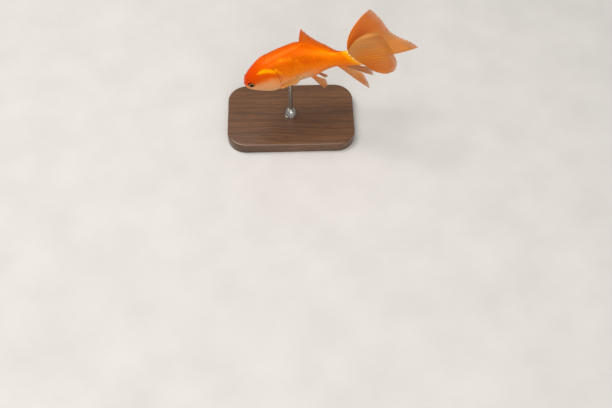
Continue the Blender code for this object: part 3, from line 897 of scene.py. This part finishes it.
def scale_tree():
    """Geometry Nodes: a scale on every root, made real, laid on the bed and given its UV patch."""
    tree = bpy.data.node_groups.new("scale coat", "GeometryNodeTree")
    sockets = {}
    for label, kind in (
        ("Geometry", "NodeSocketGeometry"),
        ("Scale", "NodeSocketObject"),
        ("Bed", "NodeSocketObject"),
        ("Patch", "NodeSocketFloat"),
        ("Finish", "NodeSocketMaterial"),
    ):
        sockets[label] = tree.interface.new_socket(label, in_out="INPUT", socket_type=kind).identifier
    tree.interface.new_socket("Geometry", in_out="OUTPUT", socket_type="NodeSocketGeometry")
    given = node(tree, "NodeGroupInput").outputs

    def stored(name):
        return node(tree, "GeometryNodeInputNamedAttribute", {"Name": name}, data_type="FLOAT_VECTOR")

    scale = node(tree, "GeometryNodeObjectInfo", {"Object": given["Scale"]}).outputs["Geometry"]
    bed = node(tree, "GeometryNodeObjectInfo", {"Object": given["Bed"]}).outputs["Geometry"]
    placed = node(
        tree,
        "GeometryNodeInstanceOnPoints",
        {"Points": given["Geometry"], "Instance": scale, "Scale": stored("reach")},
    )
    real = node(tree, "GeometryNodeRealizeInstances", {"Geometry": placed})
    flat = node(tree, "GeometryNodeInputPosition")
    rise = node(tree, "ShaderNodeSeparateXYZ", {"Vector": flat}).outputs["Z"]
    under, normal = (
        node(
            tree,
            "GeometryNodeSampleUVSurface",
            {"Mesh": bed, "Value": value, "UV Map": stored("lie"), "Sample UV": flat},
            data_type="FLOAT_VECTOR",
        )
        for value in (flat, stored("outward"))
    )
    lift = node(tree, "ShaderNodeVectorMath", {0: normal, "Scale": rise}, operation="SCALE")
    spot = node(tree, "ShaderNodeVectorMath", {0: under, 1: lift}, operation="ADD")
    laid = node(tree, "GeometryNodeSetPosition", {"Geometry": real, "Position": spot})
    small = node(
        tree, "ShaderNodeVectorMath", {0: stored("local"), "Scale": given["Patch"]}, operation="SCALE"
    )
    patch = node(tree, "ShaderNodeVectorMath", {0: stored("root"), 1: small}, operation="ADD")
    mapped = node(
        tree,
        "GeometryNodeStoreNamedAttribute",
        {"Geometry": laid, "Name": "OFBake", "Value": patch},
        data_type="FLOAT2",
        domain="CORNER",
    )
    soft = node(tree, "GeometryNodeSetShadeSmooth", {"Geometry": mapped})
    done = node(tree, "GeometryNodeSetMaterial", {"Geometry": soft, "Material": given["Finish"]})
    node(tree, "NodeGroupOutput", {"Geometry": done})
    return tree, sockets


def goldfish_scale():
    """A clear plate over silvery guanine: the skin's colours with a metallic glint that differs from scale
    to scale, fine growth rings, a rear edge painted paler as a highlight, and a root painted darker as the
    shade of its pocket."""
    made, tree = finish(
        "goldfish_scale_guanine",
        ior=1.45,
        specular_ior_level=0.12,
        metallic=0.25,
        coat_weight=0.05,
        coat_roughness=0.18,
        **WET,
    )
    colour, _ = markings(tree)
    tint = node(tree, "ShaderNodeAttribute", attribute_name="tint").outputs["Fac"]
    local = node(tree, "ShaderNodeAttribute", attribute_name="local").outputs["Vector"]
    split = node(tree, "ShaderNodeSeparateXYZ", {"Vector": local})
    shine = node(tree, "ShaderNodeMapRange", {"Value": tint, "To Min": 0.93, "To Max": 1.06})
    colour = node(tree, "ShaderNodeHueSaturation", {"Value": shine, "Color": colour})
    # painted light: the free edge is painted paler as a highlight, and the root darker as painted shade in
    # the pocket under the scale before it
    for start, full, most, over in ((0.4, 0.62, 0.14, "#ffa838"), (-0.3, -0.5, 0.2, "#cc4a02")):
        share = node(
            tree,
            "ShaderNodeMapRange",
            {"Value": split.outputs["X"], "From Min": start, "From Max": full, "To Max": most},
            interpolation_type="SMOOTHSTEP",
        )
        colour = node(tree, "ShaderNodeMix", {"Factor": share, "A": colour, "B": over}, data_type="RGBA")
    # along the middle of each flank every scale has the short dark slit of a lateral-line pore
    pore = node(tree, "ShaderNodeAttribute", attribute_name="pore").outputs["Fac"]
    off = node(tree, "ShaderNodeVectorMath", {0: local, 1: (0.22, 0.0, 0.0)}, operation="SUBTRACT")
    squeezed = node(tree, "ShaderNodeVectorMath", {0: off, 1: (1.0, 2.2, 0.0)}, operation="MULTIPLY")
    away = node(tree, "ShaderNodeVectorMath", {0: squeezed}, operation="LENGTH")
    slit = node(tree, "ShaderNodeMapRange", {"Value": away, "From Min": 0.2, "From Max": 0.1, "To Max": 0.6})
    dark = node(tree, "ShaderNodeMath", {0: slit, 1: pore}, operation="MULTIPLY")
    marked = node(tree, "ShaderNodeMix", {"Factor": dark, "A": colour, "B": "#8a2a04"}, data_type="RGBA")
    # growth rings round the scale's middle, a tenth of a millimetre apart
    distance = node(tree, "ShaderNodeVectorMath", {0: local}, operation="LENGTH")
    turns = node(tree, "ShaderNodeMath", {0: distance, 1: 110.0}, operation="MULTIPLY")
    growth = node(tree, "ShaderNodeMath", {0: turns}, operation="SINE")
    relief = node(tree, "ShaderNodeBump", {"Strength": 0.25, "Distance": 0.012 * MM, "Height": growth})
    rough = node(tree, "ShaderNodeMapRange", {"Value": tint, "To Min": 0.34, "To Max": 0.46})
    return wire(made, base_color=marked, roughness=rough, normal=relief)


def make_scales():
    """The whole coat as one plain mesh."""
    roots, bed, scale = make_roots(), make_bed(), make_scale()
    tree, sockets = scale_tree()
    coat = roots.modifiers.new("Scales", "NODES")
    coat.node_group = tree
    given = {"Scale": scale, "Bed": bed, "Patch": PATCH / (2 * SCALE_HALF), "Finish": goldfish_scale()}
    for label, value in given.items():
        coat[sockets[label]] = value
    bpy.context.view_layer.update()
    evaluated = roots.evaluated_get(bpy.context.evaluated_depsgraph_get())
    mesh = bpy.data.meshes.new_from_object(evaluated)
    mesh.materials.pop(index=0)  # the empty slot that the nodes leave in front
    roots.modifiers.remove(coat)
    roots.data = mesh
    mesh.set_sharp_from_angle(angle=math.radians(50))  # a scale's rim is crisp
    for helper in (bed, scale):
        bpy.data.objects.remove(helper, do_unlink=True)
    return roots


dress(make_scales(), "skin")

# ---- The fins ----
# Bony rays, each branching once on its way out, joined by a thin clear web. They grow out of the
# flesh, thick and orange at the root and thin and ragged at the rim, and bend in the water.
ROOT_BITE = 1.5 * MM  # how deep a fin starts inside the body
STEPS_PER_RAY, STEPS_OUT = 8, 44
RAY_HALF = 0.15  # how far a ray's ridge reaches to each side, in spaces between two rays
BRANCHING, FORK_SPREAD = 0.42, 0.24  # how far out the rays fork, and how far the two halves part
WEB_ROOT, WEB_RIM = 0.24 * MM, 0.13 * MM  # thickness
RAY_ROOT, RAY_RIM = 0.3 * MM, 0.1 * MM  # what a ray adds to it
FLESHY, FLESH_REACH = 1.0 * MM, 1.3  # and what the flesh adds at the root, and how far out, in mm
JOINT_LENGTH = 0.5  # mm between a ray's joints


def ray_path(root, frame, rise, splay, length, curl, sway):
    """A fin ray's points. Rise is up from the tailward line and splay to the left, in degrees at the
    root; curl and sway are what is added to them by the tip."""
    tailward, left, up = frame
    fine = np.linspace(0, 1, 4 * STEPS_OUT)
    lift, out = np.radians(rise + curl * fine), np.radians(splay + sway * fine)
    ahead = (
        (np.cos(lift) * np.cos(out))[:, None] * tailward
        + (np.cos(lift) * np.sin(out))[:, None] * left
        + np.sin(lift)[:, None] * up
    )
    walked = np.concatenate([np.zeros((1, 3)), np.cumsum((ahead[1:] + ahead[:-1]) / 2, axis=0)])
    walked *= (length + ROOT_BITE) / (len(fine) - 1)
    return root - ROOT_BITE * ahead[0] + read_rows(walked, fine, np.linspace(0, 1, STEPS_OUT))


def fin_paths(rows, root_at, side, across):
    """Rays, and the web between them, as paths from root to rim, with their lengths in mm. A row is
    (share across, rise, splay, length in mm, curl, sway), and root_at gives the place, the angle and
    the share of the section where a path starts, by its share across."""
    paths, lengths = [], []
    for share in across:
        rise, splay, length, curl, sway = (
            float(through([(row[0], row[k]) for row in rows], share)) for k in range(1, 6)
        )
        place, angle, section = root_at(share)
        root = body_point(place, angle, section)
        paths.append(ray_path(root, frame_at(place), rise, side * splay, length * MM, curl, side * sway))
        lengths.append(length)
    return paths, np.array(lengths)[:, None]


def grid_normals(grid):
    """The unit normals of a grid of points."""
    return unit(np.cross(np.gradient(grid, axis=1), np.gradient(grid, axis=0)))


def two_sided(columns):
    """Quads over both sides of a fin and round its edge. The second side's points follow the first's."""
    back, last = columns * STEPS_OUT, (columns - 1) * STEPS_OUT
    faces = []
    for a in (i * STEPS_OUT + j for i in range(columns - 1) for j in range(STEPS_OUT - 1)):
        b = a + STEPS_OUT
        faces += [(a, b, b + 1, a + 1), (back + a, back + a + 1, back + b + 1, back + b)]
    edge = list(range(0, last, STEPS_OUT)) + list(range(last, back - 1))
    edge += list(range(back - 1, STEPS_OUT - 1, -STEPS_OUT)) + list(range(STEPS_OUT - 1, 0, -1))
    return faces + [(a, b, back + b, back + a) for a, b in zip(edge, edge[1:] + edge[:1])]


def fin(name, rows, root_at, count, side, material, notch, ripple, waves):
    """A fin as a closed sheet with count rays. Notch is how deep the rim is cut, ripple is in mm, and
    waves are the ripple's turns across, its turns outwards and the turn it starts at."""
    columns = (count - 1) * STEPS_PER_RAY + 1
    across, out = np.linspace(0, 1, columns)[:, None], np.linspace(0, 1, STEPS_OUT)[None, :]
    paths, length = fin_paths(rows, root_at, side, across[:, 0])
    off = across * (count - 1) - np.round(across * (count - 1))
    fork = FORK_SPREAD * ease(BRANCHING, 0.85, out)
    ridge = np.maximum(bump(off - fork, RAY_HALF), bump(off + fork, RAY_HALF))
    # the rim: each ray ends in a short point, with a notch in the web beside it
    stop = 1 - notch * (1 - bump(np.abs(off) - 0.2, 0.2))
    steps = np.arange(STEPS_OUT)
    grid = np.array([read_rows(path, steps, end * steps) for path, end in zip(paths, stop)])
    # the ripple: long waves, and finer ones a third as high
    turns_across, turns_out, start = waves
    swing = np.sin(2 * math.pi * (turns_across * across + turns_out * out + start))
    fine = 0.3 * np.sin(2 * math.pi * (2.7 * turns_across * across - 1.3 * out + start))
    swell = ripple * MM * ease(0.1, 1.0, out) * out**0.6 * (swing + fine)
    grid = grid + grid_normals(grid) * swell[..., None]
    from_skin = np.maximum(out * (length + ROOT_BITE / MM) - ROOT_BITE / MM, 0)
    thick = WEB_ROOT + (WEB_RIM - WEB_ROOT) * out + ridge * (RAY_ROOT + (RAY_RIM - RAY_ROOT) * out)
    thick = thick + FLESHY * np.exp(-from_skin / FLESH_REACH)
    half = grid_normals(grid) * (thick / 2)[..., None]
    points = np.concatenate([(grid + half).reshape(-1, 3), (grid - half).reshape(-1, 3)])
    values = {"out": out, "across": across, "ridge": ridge, "from_skin": from_skin}
    for key, numbers in values.items():
        values[key] = np.tile(np.broadcast_to(numbers, ridge.shape).ravel(), 2)
    dress(solid("fish_" + name, points, two_sided(columns), material, values=values), "fin", name)


def fin_membrane(name, across, root, rim, ray, clear, root_reach):
    """Wet fin: thin skin that lets light through, more so between the rays than over them, with the
    rays' joints half a millimetre apart. Across is a ramp of the web's colours from the first ray to
    the last, clear is how much the web lets through, and root_reach is how far out, in mm, the root's
    colour goes."""
    made, tree = finish(
        name,
        ior=1.38,
        specular_ior_level=0.2,
        subsurface_weight=0.5,
        subsurface_radius=(1.0, 0.45, 0.15),
        subsurface_scale=1.5 * MM,
        coat_weight=0.1,
        coat_roughness=0.15,
        **WET,
    )
    out, ridge, from_skin, along = (
        node(tree, "ShaderNodeAttribute", attribute_name=key).outputs["Fac"]
        for key in ("out", "ridge", "from_skin", "across")
    )
    at = node(tree, "ShaderNodeTexCoord").outputs["Object"]
    # clouds about 6 mm across
    cloud, drift = clouds(tree, at, 160, 0.14)
    level = node(tree, "ShaderNodeMath", {0: along, 1: drift}, operation="ADD")
    web = node(tree, "ShaderNodeValToRGB", {"Fac": level}, stops=across)
    # thinner and paler towards the rim, and most of all in the last fifth; fleshy at the root
    thin, fading, near = (
        node(
            tree,
            "ShaderNodeMapRange",
            {"Value": source, "From Min": start, "From Max": stop, "To Min": first, "To Max": last},
            interpolation_type="SMOOTHSTEP",
        )
        for source, start, stop, first, last in (
            (out, 0.55, 1.0, 0.0, 0.5),
            (out, 0.8, 1.0, 1.0, 0.6),
            (from_skin, 0.25 * root_reach, root_reach, 1.0, 0.0),
        )
    )
    on_ray = node(tree, "ShaderNodeMath", {0: ridge, 1: 0.6}, operation="MULTIPLY")
    colour = web
    for share, over in ((thin, rim), (on_ray, ray), (near, root)):
        colour = node(tree, "ShaderNodeMix", {"Factor": share, "A": colour, "B": over}, data_type="RGBA")
    cover = node(tree, "ShaderNodeMapRange", {"Value": ridge, "To Min": 1 - clear, "To Max": 0.96})
    faded = node(tree, "ShaderNodeMath", {0: cover, 1: fading}, operation="MULTIPLY")
    opaque = node(tree, "ShaderNodeMath", {0: faded, 1: near}, operation="MAXIMUM")
    turns = node(tree, "ShaderNodeMath", {0: from_skin, 1: 2 * math.pi / JOINT_LENGTH}, operation="MULTIPLY")
    joints = node(tree, "ShaderNodeMath", {0: turns}, operation="SINE")
    height = node(tree, "ShaderNodeMath", {0: joints, 1: ridge}, operation="MULTIPLY")
    relief = node(tree, "ShaderNodeBump", {"Strength": 0.3, "Distance": 0.03 * MM, "Height": height})
    rough = node(tree, "ShaderNodeMapRange", {"Value": cloud, "To Min": 0.34, "To Max": 0.5})
    return wire(made, base_color=colour, alpha=opaque, roughness=rough, normal=relief)


# Each fin's base is the (place, degrees round the body) of its first ray and of its last, and its
# rays are rows of (share across the fin, rise, splay, length in mm, curl, sway)
DORSAL_BASE = ((0.55, 90.0), (0.84, 90.0))
DORSAL_RAYS = (
    (0.00, 77, 0, 14.2, -12, 0),
    (0.08, 66, 0, 10.4, -16, 0),
    (0.22, 48, 0, 7.8, -16, 0),
    (0.55, 34, 0, 6.0, -14, 0),
    (1.00, 20, 0, 4.2, -8, 0),
)
PECTORAL_BASE = ((0.282, -28.0), (0.304, -48.0))
PECTORAL_RAYS = (
    (0.0, 26, 12, 16.0, -4, -12),
    (0.5, 14, 11, 14.5, -4, -10),
    (1.0, -4, 11, 9.0, -2, -8),
)
PELVIC_BASE = ((0.575, -66.0), (0.605, -78.0))
PELVIC_RAYS = (
    (0.0, -68, 22, 14.0, 14, -16),
    (0.5, -58, 16, 12.5, 12, -14),
    (1.0, -40, 10, 8.0, 8, -8),
)
ANAL_BASE = ((0.845, -68.0), (0.915, -68.0))
ANAL_RAYS = (
    (0.0, -42, 12, 26.0, 10, 4),
    (0.4, -34, 12, 21.0, 8, 4),
    (1.0, -26, 10, 12.0, 6, 2),
)
TAIL_LEFT_RAYS = (
    (0.00, 74, 8, 33, -64, -6),
    (0.22, 52, 12, 32, -36, -10),
    (0.50, 12, 12, 28, -8, -16),
    (0.78, -28, 16, 25.5, 6, -26),
    (1.00, -62, 34, 20, 44, -56),
)
TAIL_RIGHT_RAYS = (
    (0.00, 96, -36, 36, -97, -8),
    (0.22, 52, -38, 31, -42, -8),
    (0.50, 10, -40, 30, -14, -8),
    (0.78, -12, -36, 37, -6, -8),
    (1.00, -28, -28, 50, 2, -14),
)
TAIL_ROOT_ANGLES = (74.0, -52.0)  # where the outer rays of each half leave the stem's rim
TAIL_ROOT_SHARE = 0.72  # how far out from the spine that is


def body_root(base, side=1):
    """Where a fin's rays leave the body, by their share across the fin. Side -1 is the right."""
    (first_place, first_angle), (last_place, last_angle) = base

    def root(share):
        angle = math.radians(first_angle + (last_angle - first_angle) * share)
        place = first_place + (last_place - first_place) * share
        return place, angle if side > 0 else math.pi - angle, 1.0

    return root


def stem_root(side):
    """Where the rays of one half of the tail leave the stem's rim."""
    upper, lower = TAIL_ROOT_ANGLES

    def root(share):
        angle = math.radians(upper + (lower - upper) * share)
        return float(tail_root(angle)), angle if side > 0 else math.pi - angle, TAIL_ROOT_SHARE

    return root


dorsal_skin = fin_membrane(
    "fin_membrane_dorsal", [(0, "#d0681c"), (0.2, "#e66e0c"), (1, "#ea7410")],
    root="#f47400", rim="#bc6628", ray="#d86408", clear=0.08, root_reach=3.5,
)
paired_skin = fin_membrane(
    "fin_membrane_paired", [(0, "#bc7c40"), (1, "#ca8e50")],
    root="#e07818", rim="#bc8c60", ray="#a85e2a", clear=0.3, root_reach=3.0,
)
# the pectoral fins are paler than the other paired fins: partly their own colour, partly painted light
# making up for the shade they lie in along the belly
pectoral_skin = fin_membrane(
    "fin_membrane_pectoral", [(0, "#f49848"), (1, "#f6ac68")],
    root="#e68e46", rim="#eeb280", ray="#e48838", clear=0.3, root_reach=3.0,
)
# both halves of the tail are cream at the root: the painted highlight of the skin's cream line goes on into
# the fin
left_skin = fin_membrane(
    "fin_membrane_tail_left",
    [(0, "#b67e44"), (0.25, "#ba7c40"), (0.45, "#ce7414"), (0.75, "#c66200"), (1, "#c26000")],
    root="#ffd67a", rim="#bc6c1c", ray="#d89a5c", clear=0.05, root_reach=1.3,
)
# the right half's first rays are a brighter orange than the left half's: painted light making up for the
# shade they lie in behind the left half
right_skin = fin_membrane(
    "fin_membrane_tail_right",
    [(0, "#e8781c"), (0.12, "#e67000"), (0.35, "#e27c1c"), (0.6, "#d6924c"), (1, "#cc8240")],
    root="#ffd67a", rim="#cc7c30", ray="#e0985a", clear=0.06, root_reach=1.3,
)
back, waves = body_root(DORSAL_BASE), (1.5, 0.3, 0.1)
fin("dorsal_fin", DORSAL_RAYS, back, 18, 1, dorsal_skin, notch=0.08, ripple=0.25, waves=waves)
for side, word in ((1, "left"), (-1, "right")):
    for name, base, rays, count, covering in (
        ("pectoral", PECTORAL_BASE, PECTORAL_RAYS, 14, pectoral_skin),
        ("pelvic", PELVIC_BASE, PELVIC_RAYS, 9, paired_skin),
        ("anal", ANAL_BASE, ANAL_RAYS, 8, paired_skin),
    ):
        root, waves = body_root(base, side), (1, 0.5, 0.2 * side)
        fin(f"{name}_fin_{word}", rays, root, count, side, covering, notch=0.05, ripple=0.28, waves=waves)
for word, rays, side, covering, waves in (
    ("left", TAIL_LEFT_RAYS, 1, left_skin, (2.2, 0.5, 0.15)),
    ("right", TAIL_RIGHT_RAYS, -1, right_skin, (2.0, 0.6, 0.4)),
):
    fin(f"tail_fin_{word}", rays, stem_root(side), 20, 1, covering, notch=0.03, ripple=0.8, waves=waves)

# ---- The eyes ----
# A black pupil with the round lens standing in it, a thin ring of gold and orange iris round that,
# and a clear domed cornea over both. There are no lids; each eye sits in its socket in the skin.
EYE_SIDES = 64
PUPIL, IRIS = 1.45, 1.95  # radii in mm
PUPIL_LEVEL, LENS_RISE = 1.62, 0.4  # mm from the eye's middle, and how far the lens stands out of it
IRIS_LEVEL, IRIS_DROP = 1.66, 0.28  # and how far the iris falls away to its rim
BANDS = 2.65  # mm from the pupil's middle to the end of the iris's bands of colour
CORNEA_REACH_DEG = 64.0
CORNEA_THICKNESS = 0.08 * MM


def about_axis(name, centre, axis, profile_points, material, values=None):
    """A closed solid turned about an axis from (radius, distance along it) points in mm."""
    axis = Vector(axis)
    first = axis.orthogonal().normalized()
    second = axis.cross(first)
    first, second, axis = np.array(first), np.array(second), np.array(axis)
    turns = np.arange(EYE_SIDES) * 2 * math.pi / EYE_SIDES
    loops = [
        centre
        + MM * (r * (np.cos(turns)[:, None] * first + np.sin(turns)[:, None] * second) + along * axis)
        for r, along in profile_points
    ]
    spread = {key: np.repeat(numbers, EYE_SIDES) for key, numbers in (values or {}).items()}
    return solid(
        name, np.concatenate(loops), tube(len(loops), EYE_SIDES), material, smooth_deg=60, values=spread
    )


def iris_and_pupil():
    """Black glassy pupil, and an iris whose guanine gives it a flecked metallic gold."""
    made, tree = finish("eye_iris_and_pupil", ior=1.33, specular_ior_level=0.3, roughness=0.25)
    radius = node(tree, "ShaderNodeAttribute", attribute_name="radius").outputs["Fac"]
    at = node(tree, "ShaderNodeTexCoord").outputs["Object"]
    # the iris's flecks, a third of a millimetre across
    flecks, drift = clouds(tree, at, 2800, 0.07, detail=3)
    level = node(tree, "ShaderNodeMath", {0: radius, 1: drift}, operation="ADD")
    share = node(tree, "ShaderNodeMapRange", {"Value": level, "From Min": 0.0, "From Max": BANDS})
    # the iris's inner edge is pale cream, partly its own gold and partly a painted highlight
    bands = node(
        tree,
        "ShaderNodeValToRGB",
        {"Fac": share},
        stops=[
            (0.0, "#020202"),
            (0.53, "#040303"),
            (0.555, "#ffe09a"),
            (0.6, "#ffb43a"),
            (0.67, "#ee820c"),
            (0.71, "#a24408"),
            (0.745, "#2a1006"),
            (1.0, "#0c0606"),
        ],
    )
    metal = node(
        tree,
        "ShaderNodeValToRGB",
        {"Fac": share},
        stops=[(0.53, 0.0), (0.56, 0.4), (0.68, 0.4), (0.74, 0.0)],
    )
    relief = node(tree, "ShaderNodeBump", {"Strength": 0.3, "Distance": 0.03 * MM, "Height": flecks})
    return wire(made, base_color=bands, metallic=metal, normal=relief)


def cornea():
    """A clear wet dome: nearly invisible but for its sharp highlight."""
    return finish("eye_cornea", base_color="#0c0a08", ior=1.376, roughness=0.03, alpha=0.1)[0]


def eyeball_profile():
    """From the middle of the pupil, over the lens, across the iris and round the back of the ball."""
    ball = (EYE_RADIUS - CORNEA_THICKNESS) / MM
    lens = [
        (PUPIL * math.sin(t) * 0.93, PUPIL_LEVEL + LENS_RISE * math.cos(t))
        for t in np.linspace(0, math.pi / 2, 9)
    ]
    iris = [
        (r, IRIS_LEVEL - IRIS_DROP * ((r - PUPIL) / (IRIS - PUPIL)) ** 1.5)
        for r in np.linspace(PUPIL, IRIS, 9)
    ]
    start = math.asin((IRIS + 0.12) / ball)
    back = [(ball * math.sin(t), ball * math.cos(t)) for t in np.linspace(start, math.pi, 24)]
    return [(0.0, lens[0][1])] + lens[1:] + iris + back[:-1] + [(0.0, -ball)]


eye_material, cornea_material = iris_and_pupil(), cornea()
for word, (centre, looks) in EYES.items():
    profile_points = eyeball_profile()
    radii = [r if along > 0 else EYE_RADIUS / MM for r, along in profile_points]
    ball = about_axis(
        f"fish_eye_{word}", centre, looks, profile_points, eye_material, values={"radius": radii}
    )
    dress(ball, "eye", f"eye_{word}")
    outer, inner = EYE_RADIUS / MM, (EYE_RADIUS - CORNEA_THICKNESS) / MM
    turns = np.radians(np.linspace(0, CORNEA_REACH_DEG, 22))
    dome = [(outer * math.sin(t), outer * math.cos(t)) for t in turns]
    dome += [(inner * math.sin(t), inner * math.cos(t)) for t in turns[::-1]]
    dress(about_axis(f"fish_cornea_{word}", centre, looks, dome, cornea_material), "eye")

# ---- The floor, the light and the camera ----
# A pale matt floor, a large soft window of light from above and behind the head's side, a weaker one
# from the camera's side, and the camera looking down on the fish's left flank.
FLOOR_HALF = 3.0
VIEW_UP_DEG = 46.0
VIEW_DISTANCE = 0.60
LENS_MM, SENSOR_MM = 51.0, 36.0
AIM_BELOW, AIM_RIGHT = 97.0 * MM, 9.3 * MM  # where the view's middle lies from the point over the rod


def studio_floor():
    """Matt seamless paper, faintly mottled."""
    made, tree = finish("studio_paper", ior=1.45, roughness=0.85)
    at = node(tree, "ShaderNodeTexCoord").outputs["Object"]
    fibre = node(tree, "ShaderNodeTexNoise", {"Vector": at, "Scale": 30, "Detail": 5})
    tone = node(tree, "ShaderNodeValToRGB", {"Fac": fibre}, stops=[(0.3, "#bfbebc"), (0.7, "#c6c5c3")])
    return wire(made, base_color=tone)


corners = [(x, y, 0.0) for x in (-FLOOR_HALF, FLOOR_HALF) for y in (FLOOR_HALF, -FLOOR_HALF)]
floor = sheet("studio_floor", corners, 2, 2)
floor.data.materials.append(studio_floor())


def soft_light(name, place, size, watts, colour):
    """A square area light that faces the fish."""
    lamp = bpy.data.lights.new(name, "AREA")
    lamp.size = size
    lamp.energy = watts
    lamp.color = linear(colour)[:3]
    made = show(name, lamp)
    made.location = place
    made.rotation_euler = (Vector(ROD_POINT) - Vector(place)).to_track_quat("-Z", "Y").to_euler()


soft_light("window_light", (-0.45, 0.1, 1.1), size=0.7, watts=13.5, colour="#fffaf4")
soft_light("fill_light", (0.2, -0.85, 0.85), size=0.9, watts=8.0, colour="#fffaf6")

world = bpy.data.worlds.new("studio")
bpy.context.scene.world = world
world.use_nodes = True
sky = world.node_tree.nodes["Background"].inputs
sky["Color"].default_value = linear("#e8e6e4")
sky["Strength"].default_value = 0.4
bpy.context.scene.view_settings.view_transform = "Standard"

lens = bpy.data.cameras.new("camera")
lens.sensor_width = SENSOR_MM
lens.lens = LENS_MM
lens.clip_start = 0.01
camera = show("camera", lens)
rise = math.radians(VIEW_UP_DEG)
to_camera = Vector((0.0, -math.cos(rise), math.sin(rise)))
view_up = Vector((0.0, math.sin(rise), math.cos(rise)))
over_rod = Vector(ROD_POINT)
aim = over_rod - AIM_BELOW * view_up + AIM_RIGHT * Vector((1, 0, 0))
camera.location = over_rod + VIEW_DISTANCE * to_camera
camera.rotation_euler = (aim - camera.location).to_track_quat("-Z", "Y").to_euler()
bpy.context.scene.camera = camera
